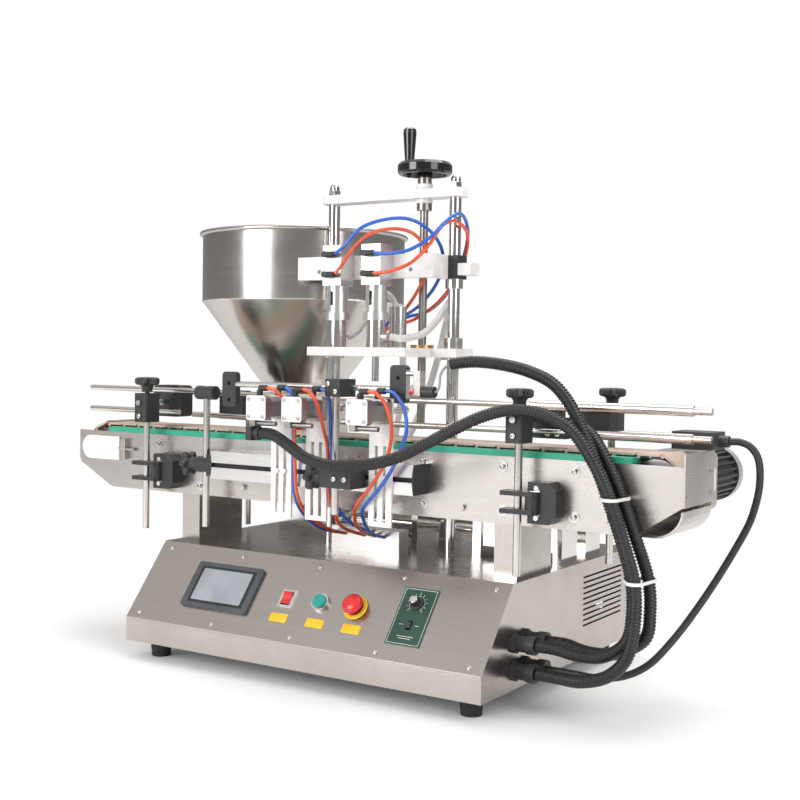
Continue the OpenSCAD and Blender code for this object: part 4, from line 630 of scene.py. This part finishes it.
placed = add(fastener_tree, "GeometryNodeInstanceOnPoints", {"Points": spots_in.outputs["Geometry"],
                                                             "Instance": fastener.outputs["Geometry"],
                                                             "Rotation": swung, "Scale": big})
made_real = add(fastener_tree, "GeometryNodeRealizeInstances", {0: placed})
finished = add(fastener_tree, "GeometryNodeSetMaterial", {"Geometry": made_real,
                                                          "Material": spots_in.outputs["Material"]})
add(fastener_tree, "NodeGroupOutput", {"Geometry": finished})


def scatter(name, source, spots, size, material, body):
    """Copies of one small part at spots, each a place, a facing direction and a direction along."""
    mesh = bpy.data.meshes.new(name)
    mesh.from_pydata([s[0] for s in spots], [], [])
    for k, label in ((1, "facing"), (2, "along")):
        layer = mesh.attributes.new(label, "FLOAT_VECTOR", "POINT")
        layer.data.foreach_set("vector", [c for s in spots for c in s[k]])
    holder = bpy.data.objects.new(name, mesh)
    scene.collection.objects.link(holder)
    made = run_tree(holder, fastener_tree, {"Fastener": source, "Size": size, "Material": material})
    for label in ("facing", "along"):
        if label in made.data.attributes:
            made.data.attributes.remove(made.data.attributes[label])
    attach(made, body)
    return made


def spots_on(frame_matrices):
    return [(m.translation.copy(), m.col[2].to_3d(), m.col[0].to_3d()) for m in frame_matrices]


def pan_head(name, radius, height, socket, deep):
    """A low round head with a hexagon socket, its seat at z = 0."""
    shape_mesh = bmesh.new()
    count = 24
    hexagon = []
    for k in range(count):
        a = 2 * math.pi * k / count
        nearest = math.radians(60 * round(math.degrees(a) / 60))
        hexagon.append(socket * math.cos(math.radians(30)) / max(0.87, math.cos(a - nearest)))
    outer = [(radius, 0)] + arc(radius * 0.62, height - radius * 0.38, radius * 0.38, 0, 80, 4)
    rings = [[(r * math.cos(2 * math.pi * k / count), r * math.sin(2 * math.pi * k / count), h)
              for k in range(count)] for r, h in outer]
    rings += [[(hexagon[k] * math.cos(2 * math.pi * k / count),
                hexagon[k] * math.sin(2 * math.pi * k / count), h)
               for k in range(count)] for h in (height, height - deep)]
    loft(shape_mesh, rings, Matrix.Identity(4))
    piece = finish_piece(name, shape_mesh, None, None)
    scene.collection.objects.unlink(piece)
    return piece


screw_steel = metal("screw_steel", (0.62, 0.61, 0.59), 0.24, (300.0, 300.0, 300.0), marks=0.15)
slope_length = (slope_high - slope_low).length
panel_screw_head = pan_head("panel_screw_head", 0.00375, 0.0022, 0.0017, 0.0013)
panel_spots = spots_on([on_slope(u, v) for u in (-0.326, -0.163, 0.0, 0.163, 0.326)
                        for v in (0.011, slope_length - 0.013)])
panel_screws = scatter("panel_screw_heads", panel_screw_head, panel_spots, 1.0, screw_steel, "frame")
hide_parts("panel_screws")

shape_mesh = bmesh.new()
for *centres, level in bundles:
    bundle_tie(shape_mesh, centres, level)
tie_white = plastic("tie_white", (0.80, 0.79, 0.77), 0.4, bump=0.05, edge=0.0002, wear=0.0)
finish_piece("conduit_ties", shape_mesh, tie_white, "frame", smooth=False)

# ---------------------------------------------------------------- operator screen
# A flush touch screen: a moulded grey bezel with a sunk black rim and the dull grey glass of a panel that
# is switched off, its image area a shade bluer.
bezel_plastic = plastic("bezel_plastic", (0.055, 0.062, 0.070), 0.42, grain=1500.0, bump=0.15, wear=0.15)
paint(bezel_plastic, "touch_screen")
screen_across, screen_up, bezel_top = -0.174, 0.078, 0.005
screen_rim = plastic("screen_rim", (0.01, 0.01, 0.012), 0.2, bump=0.02, wear=0.0)
shape_mesh = bmesh.new()
plate_loft(shape_mesh, 0.118, 0.069, 0.0022, bezel_top - 0.0002, bezel_top + 0.0003,
           on_slope(screen_across, screen_up))
finish_piece("screen_rim", shape_mesh, screen_rim, "frame")
screen_glass = plastic("screen_glass", (0.30, 0.33, 0.36), 0.16, grain=60.0, bump=0.0, wear=0.0, dust=0.1,
                       coat_weight=0.6, coat_roughness=0.06)
shape_mesh = bmesh.new()
plate_loft(shape_mesh, 0.106, 0.060, 0.0015, bezel_top, bezel_top + 0.0007, on_slope(screen_across, screen_up))
finish_piece("screen_glass", shape_mesh, screen_glass, "frame")

# ---------------------------------------------------------------- switches, buttons and their labels
# A red rocker in a chrome frame, a green start button in a chrome collar, a red mushroom stop on a yellow
# ring, and under each a blank engraved label of yellow laminate.
chrome = metal("satin_chrome", (0.72, 0.72, 0.72), 0.16, (120.0, 120.0, 120.0), streaks=0.06, bump=0.03)
red_gloss = plastic("red_gloss", (0.62, 0.012, 0.012), 0.26, bump=0.05, wear=0.1, dust=0.05, coat_weight=0.4)
green_gloss = plastic("green_gloss", (0.01, 0.30, 0.26), 0.26, bump=0.05, wear=0.1, dust=0.05, coat_weight=0.4)
yellow_plastic = plastic("yellow_plastic", (0.82, 0.50, 0.01), 0.38, bump=0.1, wear=0.1, dust=0.08)
paint(chrome, "switch_bases")
paint(red_gloss, "rocker", "estop_head")
paint(green_gloss, "start_cap")
estop_across, estop_up = 0.099, 0.077
shape_mesh = bmesh.new()
turned(shape_mesh, [(0.0152, 0.0002)] + arc(0.0192, 0.0022, 0.0018, 0, 90) + [(0.0152, 0.004)],
       on_slope(estop_across, estop_up), 48, closed=True)
finish_piece("stop_ring", shape_mesh, yellow_plastic, "frame")
label_up = 0.041
for k, across in enumerate((-0.0374, 0.035, 0.105)):
    shape_mesh = bmesh.new()
    plate_loft(shape_mesh, 0.034, 0.0155, 0.0015, 0.0, 0.0012, on_slope(across, label_up), 0.0004)
    finish_piece("label_%d" % (k + 1), shape_mesh, yellow_plastic, "frame")

# ---------------------------------------------------------------- speed dial
# A green anodised plate with a printed scale, a black knob with a bright cap and a small reversing switch.
dial_green = plastic("dial_green", (0.010, 0.055, 0.035), 0.36, grain=1800.0, bump=0.12, wear=0.3)
paint(dial_green, "speed_plate")
dial_print = plastic("dial_print", (0.72, 0.76, 0.70), 0.45, bump=0.02, wear=0.0)
dial_across, knob_up, dial_up = 0.2035, 0.099, 0.0765
shape_mesh = bmesh.new()
dial_top, print_t = 0.0015, 0.00015
for k in range(11):
    a = math.radians(225 - 27 * k)
    long_mark = 0.0042 if k % 5 == 0 else 0.0028
    axes = on_slope(dial_across, knob_up) @ Matrix.Rotation(a, 4, "Z") @ Matrix.Translation((0.0165, 0, 0))
    plate_loft(shape_mesh, long_mark, 0.0009, 0.0003, dial_top, dial_top + print_t, axes)
for k in range(28):
    a = math.radians(225 - 10 * k)
    axes = on_slope(dial_across, knob_up) @ Matrix.Rotation(a, 4, "Z") @ Matrix.Translation((0.0131, 0, 0))
    plate_loft(shape_mesh, 0.0006, 0.0024, 0.0002, dial_top, dial_top + print_t, axes)
for x, y, w, h in ((0, 0.0465, 0.056, 0.0008), (0, -0.0465, 0.056, 0.0008),
                   (-0.028, 0, 0.0008, 0.0935), (0.028, 0, 0.0008, 0.0935),
                   (-0.014, -0.0145, 0.007, 0.0009), (0.014, -0.0145, 0.007, 0.0009),
                   (0, -0.034, 0.03, 0.0009), (0, -0.0375, 0.022, 0.0009)):
    plate_loft(shape_mesh, w, h, 0.00025, dial_top, dial_top + print_t,
               on_slope(dial_across, dial_up) @ Matrix.Translation((x, y, 0)))
finish_piece("dial_scale", shape_mesh, dial_print, "frame", smooth=False)
shape_mesh = bmesh.new()
turned(shape_mesh, [(0.0066, 0.0164)] + arc(0.0058, 0.0166, 0.0008, 0, 90) + [(0.0015, 0.01745)],
       on_slope(dial_across, knob_up))
finish_piece("speed_knob_cap", shape_mesh, chrome, "speed_knob")

# ---------------------------------------------------------------- conveyor frame
# Side plates, legs and end plate are folded from stainless sheet; cap screws with washers hold them to
# the cross tubes. White blocks at the infeed end carry the idler shaft and its tension screws.
plate_steel = metal("plate_steel", (0.52, 0.49, 0.47), 0.30, (5.0, 500.0, 650.0), marks=0.10)
leg_steel = metal("leg_steel", (0.46, 0.43, 0.405), 0.28, (500.0, 500.0, 5.0), marks=0.12)
white_acetal = plastic("white_acetal", (0.80, 0.79, 0.77), 0.42, grain=700.0, bump=0.08, wear=0.0, dust=0.1,
                       subsurface_weight=0.08)
paint(plate_steel, "front_side_plate", "rear_side_plate")
paint(leg_steel, "conveyor_legs")


def paint_boxes(name, base, rules):
    """Gives a node one finish, and another to its faces inside each box of the rules."""
    mesh = nodes[name].data
    mesh.materials.clear()
    kinds = [base]
    for _, _, material in rules:
        if material not in kinds:
            kinds.append(material)
    for material in kinds:
        mesh.materials.append(material)
    slack = 0.0003
    for face in mesh.polygons:
        chosen = base
        for low, high, material in rules:
            if all(low[i] - slack <= face.center[i] <= high[i] + slack for i in range(3)):
                chosen = material
        face.material_index = kinds.index(chosen)


paint_boxes("conveyor_ends", plate_steel, [
    (at(-0.596, 0.1260, 0.324), at(-0.497, 0.1301, 0.370), white_acetal),
    (at(-0.596, 0.2549, 0.324), at(-0.497, 0.2590, 0.370), white_acetal)])
strip_green = plastic("strip_green", (0.02, 0.36, 0.22), 0.38, bump=0.08, wear=0.25, dust=0.1)
paint(strip_green, "wear_strips")

cap_head = pan_head("cap_head", 0.0046, 0.0046, 0.0026, 0.0026)
washer_face = bmesh.new()
washer_in, washer_out, washer_t = 0.0034, 0.0085, 0.0011
turned(washer_face, [(washer_in, 0.0), (washer_out, 0.0), (washer_out, washer_t), (washer_in, washer_t)],
       Matrix.Identity(4), 28, closed=True)
washer = finish_piece("washer_ring", washer_face, None, None)
scene.collection.objects.unlink(washer)
plate_front = 0.130
front_out, side_out = Vector((0, -1, 0)), Vector((1, 0, 0))
front_bolts = [(x, z) for x in (0.168, 0.310, 0.430) for z in (0.294, 0.362)]
front_bolts += [(-0.400, 0.362), (-0.300, 0.290)]
bolt_spots = [(at(x, plate_front, z), front_out, Vector((math.cos(x * 90), 0, math.sin(x * 90))))
              for x, z in front_bolts]
scatter("plate_washers", washer, bolt_spots, 1.0, screw_steel, "frame")
scatter("plate_bolts", cap_head, [(p + front_out * washer_t, f, a) for p, f, a in bolt_spots], 1.0,
        screw_steel, "frame")

# ---------------------------------------------------------------- slat chain
# Acetal links of 38.1 mm run round both wheels: each is a flat slat with sloped ends, and below it three
# hinge knuckles at one end and two at the other.
chain_acetal = plastic("chain_acetal", (0.60, 0.46, 0.385), 0.40, grain=800.0, bump=0.1, edge=0.0005, wear=0.25,
                       dust=0.15)
turn_r, belt_y, belt_half, slat_pitch = 0.046, 0.1925, 0.04125, 0.0381
idler_x, drive_x, wheels_z = -0.5545, 0.5435, 0.347
shape_mesh = bmesh.new()
slat_length, slat_t = slat_pitch - 0.0012, 0.0038
nose = 0.004
top_outline = [(-slat_length / 2, 0.0), (-slat_length / 2, -slat_t * 0.7),
               (-slat_length / 2 + nose, -slat_t), (slat_length / 2 - nose, -slat_t),
               (slat_length / 2, -slat_t * 0.7), (slat_length / 2, 0.0)]
loft(shape_mesh, [[(x, y, z) for x, z in top_outline] for y in (-belt_half, belt_half)], Matrix.Identity(4))
knuckle_r, knuckle_z, hinge_in = 0.0026, -0.0052, 0.003
knuckle = [(knuckle_r * math.cos(2 * math.pi * k / 10), knuckle_z + knuckle_r * math.sin(2 * math.pi * k / 10))
           for k in range(10)]
for end, bands in ((-slat_length / 2 + hinge_in, ((-0.041, -0.026), (-0.012, 0.012), (0.026, 0.041))),
                   (slat_length / 2 - hinge_in, ((-0.025, -0.013), (0.013, 0.025)))):
    for low, high in bands:
        loft(shape_mesh, [[(end + x, y, z) for x, z in knuckle] for y in (low, high)], Matrix.Identity(4))
slat = finish_piece("slat", shape_mesh, None, None)
scene.collection.objects.unlink(slat)
run = drive_x - idler_x
loop_length = 2 * run + 2 * math.pi * turn_r
slat_count = round(loop_length / slat_pitch)
slat_spots = []
for k in range(slat_count):
    s = (k + 0.5) * loop_length / slat_count
    if s < run:
        slat_spots.append((at(idler_x + s, belt_y, wheels_z + turn_r), Vector((0, 0, 1)), side_out))
    elif s < run + math.pi * turn_r:
        a = (s - run) / turn_r
        way = Vector((math.sin(a), 0, math.cos(a)))
        slat_spots.append((at(drive_x, belt_y, wheels_z) + way * turn_r, way, Vector((way.z, 0, -way.x))))
    elif s < 2 * run + math.pi * turn_r:
        slat_spots.append((at(drive_x - (s - run - math.pi * turn_r), belt_y, wheels_z - turn_r),
                           Vector((0, 0, -1)), -side_out))
    else:
        a = math.pi + (s - 2 * run - math.pi * turn_r) / turn_r
        way = Vector((math.sin(a), 0, math.cos(a)))
        slat_spots.append((at(idler_x, belt_y, wheels_z) + way * turn_r, way, Vector((way.z, 0, -way.x))))
chain = scatter("slat_chain_links", slat, slat_spots, 1.0, chain_acetal, "frame")
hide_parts("slat_chain")
shaft_steel = metal("shaft_steel", (0.60, 0.59, 0.58), 0.22, (60.0, 700.0, 60.0), marks=0.1)
paint(shaft_steel, "drive_shaft", "idler_shaft")

# ---------------------------------------------------------------- gear motor
# A grey painted gearbox bolted behind the end plate, a finned motor, and a dark terminal box on top.
motor_paint = plastic("motor_paint", (0.33, 0.33, 0.335), 0.42, grain=500.0, bump=0.12, wear=0.3, dust=0.2)
fin_dark = plastic("fin_dark", (0.035, 0.035, 0.038), 0.5, grain=500.0, bump=0.15, wear=0.25, dust=0.2)
paint_boxes("gearmotor", motor_paint, [
    (at(0.50, 0.3002, 0.30), at(0.589, 0.412, 0.3885), fin_dark),
    (at(0.516, 0.291, 0.3895), at(0.602, 0.349, 0.420), fin_dark)])
sticker = plastic("blank_sticker", (0.80, 0.80, 0.79), 0.5, bump=0.03, wear=0.0)


def block(shape_mesh, low, high):
    bmesh.ops.create_cube(shape_mesh, size=1.0, matrix=Matrix.Translation((low + high) / 2)
                          @ Matrix.Diagonal((*(high - low), 1)))


shape_mesh = bmesh.new()
block(shape_mesh, at(0.5883, 0.262, 0.332), at(0.5888, 0.292, 0.366))
finish_piece("motor_label", shape_mesh, sticker, "frame", smooth=False)

# ---------------------------------------------------------------- guide rails and their holders
# Ground stainless rods in clamps of black nylon, each locked by a star knob: six lobes round a domed top
# on a conical neck, moulded over a steel stud.
rod_steel = metal("rod_steel", (0.66, 0.625, 0.595), 0.2, (8.0, 500.0, 500.0), streaks=0.1, marks=0.08)
post_steel = metal("post_steel", (0.62, 0.59, 0.565), 0.22, (500.0, 500.0, 8.0), streaks=0.1, marks=0.08)
paint(post_steel, "bracket_rods")
paint_boxes("rear_rail", rod_steel, [
    (at(x - 0.024, 0.242, 0.405), at(x + 0.032, 0.266, 0.459), nylon) for x in (0.405, 0.318, -0.330)])
paint_boxes("infeed_rail", rod_steel, [(at(-0.439, 0.154, 0.410), at(-0.373, 0.188, 0.468), nylon)])

paint_boxes("photo_sensor", nylon, [
    (at(0.1725, 0.074, 0.461), at(0.1792, 0.098, 0.485), red_gloss),
    (at(0.1625, 0.076, 0.461), at(0.1915, 0.096, 0.507), rod_steel)])
paint_boxes("bracket_clamps", nylon, [
    (at(x + 0.025, 0.0965, z - 0.005), at(x + 0.035, 0.1003, z + 0.005), screw_steel)
    for x in (-0.401, 0.353) for z in (0.292, 0.336)])
clamp_screw = pan_head("clamp_screw", 0.0045, 0.0042, 0.0024, 0.002)
clamp_spots = [(at(x, y, z), front_out, side_out) for x, y, z in (
    (-0.401, 0.0790, 0.413), (0.353, 0.0790, 0.413),
    (0.060, 0.0380, 0.333), (0.080, 0.0380, 0.333), (0.036, 0.0530, 0.482), (0.050, 0.0530, 0.470),
    (0.3745, 0.1520, 0.4145), (0.3905, 0.1520, 0.4145))]
scatter("clamp_screws", clamp_screw, clamp_spots, 1.0, screw_steel, "frame")

star_r, star_wave, star_count = 0.019, 0.0038, 72


def star_knob(label, place, way, stud):
    """A six-lobed knob: each level of it gives a radius, a height and how far the lobes stand out."""
    axes = Matrix.Translation(place) @ Vector(way).to_track_quat("Z", "Y").to_matrix().to_4x4()
    shape_mesh = bmesh.new()
    stud_and_neck = [(0.004, -stud, 0), (0.004, 0, 0), (0.0098, 0.0, 0), (0.0094, 0.004, 0),
                     (0.0102, 0.009, 0), (0.0128, 0.0125, 0)]
    lobes = [(star_r - 0.0048, 0.0129, 0.55), (star_r - 0.0022, 0.0136, 0.85), (star_r, 0.0160, 1.0),
             (star_r, 0.0232, 1.0), (star_r - 0.0012, 0.0252, 0.92), (star_r - 0.0040, 0.0265, 0.7)]
    cap = [(0.0105, 0.0269, 0.15), (0.0098, 0.0262, 0.0), (0.0088, 0.0262, 0.0), (0.0082, 0.0270, 0.0),
           (0.003, 0.0270, 0.0)]
    rings = []
    for r, h, lobe in stud_and_neck + lobes + cap:
        ring_points = []
        for k in range(star_count):
            a = 2 * math.pi * k / star_count
            out = r + lobe * star_wave * math.cos(6 * a)
            ring_points.append((out * math.cos(a), out * math.sin(a), h))
        rings.append(ring_points)
    loft(shape_mesh, rings, axes)
    piece = finish_piece("star_knob_" + label, shape_mesh, nylon, "knob_" + label)
    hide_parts("knob_" + label)


post_top, post_stud = 0.456, 0.0135
arm_z, arm_stud = 0.333, 0.010
for label, place, way, stud in (
        ("front_left", at(-0.401, 0.098, post_top), (0, 0, 1), post_stud),
        ("front_right", at(0.353, 0.098, post_top), (0, 0, 1), post_stud),
        ("rear_right", at(0.415, 0.300, post_top), (0, 0, 1), post_stud),
        ("sensor_left", at(-0.278, 0.098, arm_z), (-1, 0, 0), arm_stud),
        ("sensor_mid", at(0.029, 0.050, arm_z), (-1, 0, 0), arm_stud)):
    star_knob(label, place, way, stud)

# ---------------------------------------------------------------- gantry
# Two hard-chromed columns, a white top bar under acorn nuts, and a trapezoidal lead screw with a black
# handwheel that raises and lowers the filling head.
column_chrome = metal("column_chrome", (0.66, 0.645, 0.635), 0.10, (90.0, 90.0, 12.0), streaks=0.05, bump=0.02,
                      marks=0.05)
screw_metal = metal("screw_metal", (0.30, 0.285, 0.27), 0.34, (30.0, 30.0, 900.0), streaks=0.3, bump=0.25)
wheel_black = plastic("wheel_black", (0.008, 0.008, 0.009), 0.16, grain=300.0, bump=0.02, edge=0.001, wear=0.05,
                      dust=0.03, coat_weight=0.5, coat_roughness=0.05)
white_paint = plastic("white_paint", (0.82, 0.80, 0.785), 0.38, grain=500.0, bump=0.06, wear=0.0, dust=0.05)
paint(column_chrome, "columns")
paint(white_paint, "top_bar")
paint(screw_metal, "lead_screw")
paint(wheel_black, "handwheel", "crank_handle")

# ---------------------------------------------------------------- filling head
# White plate and crossbar, clamped on the columns; two anodised air cylinders lift the needles of two
# polished product bodies through slotted couplings, and black elbows take the air.
brass = metal("brass", (0.62, 0.44, 0.20), 0.28, (200.0, 200.0, 200.0))
polished = metal("polished_steel", (0.70, 0.685, 0.665), 0.13, (40.0, 40.0, 300.0), streaks=0.08, bump=0.03)
anodised = metal("anodised_aluminium", (0.70, 0.69, 0.68), 0.32, (300.0, 300.0, 20.0), streaks=0.08)
paint(white_paint, "head_plate")
paint(polished, "product_bodies", "nozzle_rod_left", "nozzle_rod_right")
elbow_boxes = [(at(x - 0.0125, 0.160, 0.658), at(x + 0.0130, 0.1754, 0.706), nylon) for x in (-0.050, 0.030)]
paint_boxes("nozzle_cylinders", anodised, elbow_boxes)
plate_top_z = 0.542
paint_boxes("head_fittings", polished, [
    (at(0.048, 0.260, plate_top_z), at(0.090, 0.302, plate_top_z + 0.007), brass),
    (at(0.1155, 0.2655, 0.6595), at(0.1465, 0.2975, 0.7005), nylon),
    (at(0.1155, 0.2315, 0.6595), at(0.1275, 0.2655, 0.7005), white_paint),
    (at(-0.1355, 0.2315, 0.6595), at(-0.1065, 0.2960, 0.7005), nylon),
    (at(0.1465, 0.265, 0.665), at(0.1815, 0.297, 0.687), white_paint)])

# ---------------------------------------------------------------- gates
# An aluminium T-slot beam carries three slotted white plates, and each holds a square white air cylinder
# whose rod stops the bottles.
beam_metal = metal("beam_aluminium", (0.66, 0.65, 0.64), 0.30, (4.0, 700.0, 700.0), streaks=0.1)
paint_boxes("gate_beam", beam_metal, [
    (at(-0.2352, 0.08, 0.31), at(-0.2319, 0.131, 0.36), nylon),
    (at(0.1759, 0.08, 0.31), at(0.1792, 0.131, 0.36), nylon)])
paint(white_paint, "gate_brackets")
gate_white = plastic("gate_white", (0.80, 0.79, 0.78), 0.36, grain=500.0, bump=0.08, wear=0.0, dust=0.08)
gate_body = metal("gate_body", (0.46, 0.42, 0.41), 0.34, (300.0, 8.0, 300.0), streaks=0.1)
gate_rules = []
for x in (-0.077, -0.005, 0.120):
    gate_rules += [
        (at(x - 0.018, 0.0079, 0.420), at(x + 0.018, 0.0099, 0.462), shaft_steel),
        (at(x - 0.0205, 0.0099, 0.4205), at(x + 0.0205, 0.0102, 0.4615), gate_white),
        (at(x - 0.0165, 0.012, 0.4105), at(x - 0.0035, 0.0272, 0.4209), screw_metal),
        (at(x - 0.011, 0.015, 0.4115), at(x + 0.0345, 0.0255, 0.4205), screw_metal),
        (at(x - 0.006, 0.014, 0.4611), at(x + 0.0145, 0.074, 0.480), nylon)]
gate_rules += [(at(-0.0955, 0.006, 0.387), at(-0.0735, 0.034, 0.4109), nylon),
               (at(-0.071, 0.214, 0.190), at(0.071, 0.246, 0.232), anodised)]
paint_boxes("gate_cylinders", gate_body, gate_rules)
# A black rubber strip set in the T-slot's chamber behind its lip: painted shade that darkens the slot where its
# own shadow would fall.
shape_mesh = bmesh.new()
block(shape_mesh, at(-0.2318, 0.0878, 0.3268), at(0.1758, 0.0918, 0.3432))
finish_piece("slot_cover", shape_mesh, rubber, "frame", smooth=False)
paint(rod_steel, "stopper_left", "stopper_mid", "stopper_right")

# ---------------------------------------------------------------- hopper and dosing unit
# A spun stainless cone with a rolled rim feeds a ball valve with a red dipped lever, and the valve feeds
# two polished product cylinders driven by two air cylinders on the cabinet.
hopper_steel = metal("hopper_steel", (0.52, 0.49, 0.465), 0.22, (3.0, 3.0, 900.0), streaks=0.16, bump=0.16,
                     marks=0.08)
paint(hopper_steel, "hopper")
paint(polished, "hopper_stand", "dosing_cylinders", "dosing_pistons")
shape_mesh = bmesh.new()
weld_bead = [(0.1977, 0.6278), (0.1987, 0.6286), (0.1990, 0.6295), (0.1987, 0.6304), (0.1977, 0.6312)]
turned(shape_mesh, weld_bead, Matrix.Translation(at(-0.292, 0.419, 0.0)), 96, closed=True)
finish_piece("hopper_weld", shape_mesh, polished, "frame")
lever_red = plastic("lever_red", (0.55, 0.012, 0.015), 0.35, grain=400.0, bump=0.15, wear=0.05)
paint(lever_red, "valve_lever")

low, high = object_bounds()
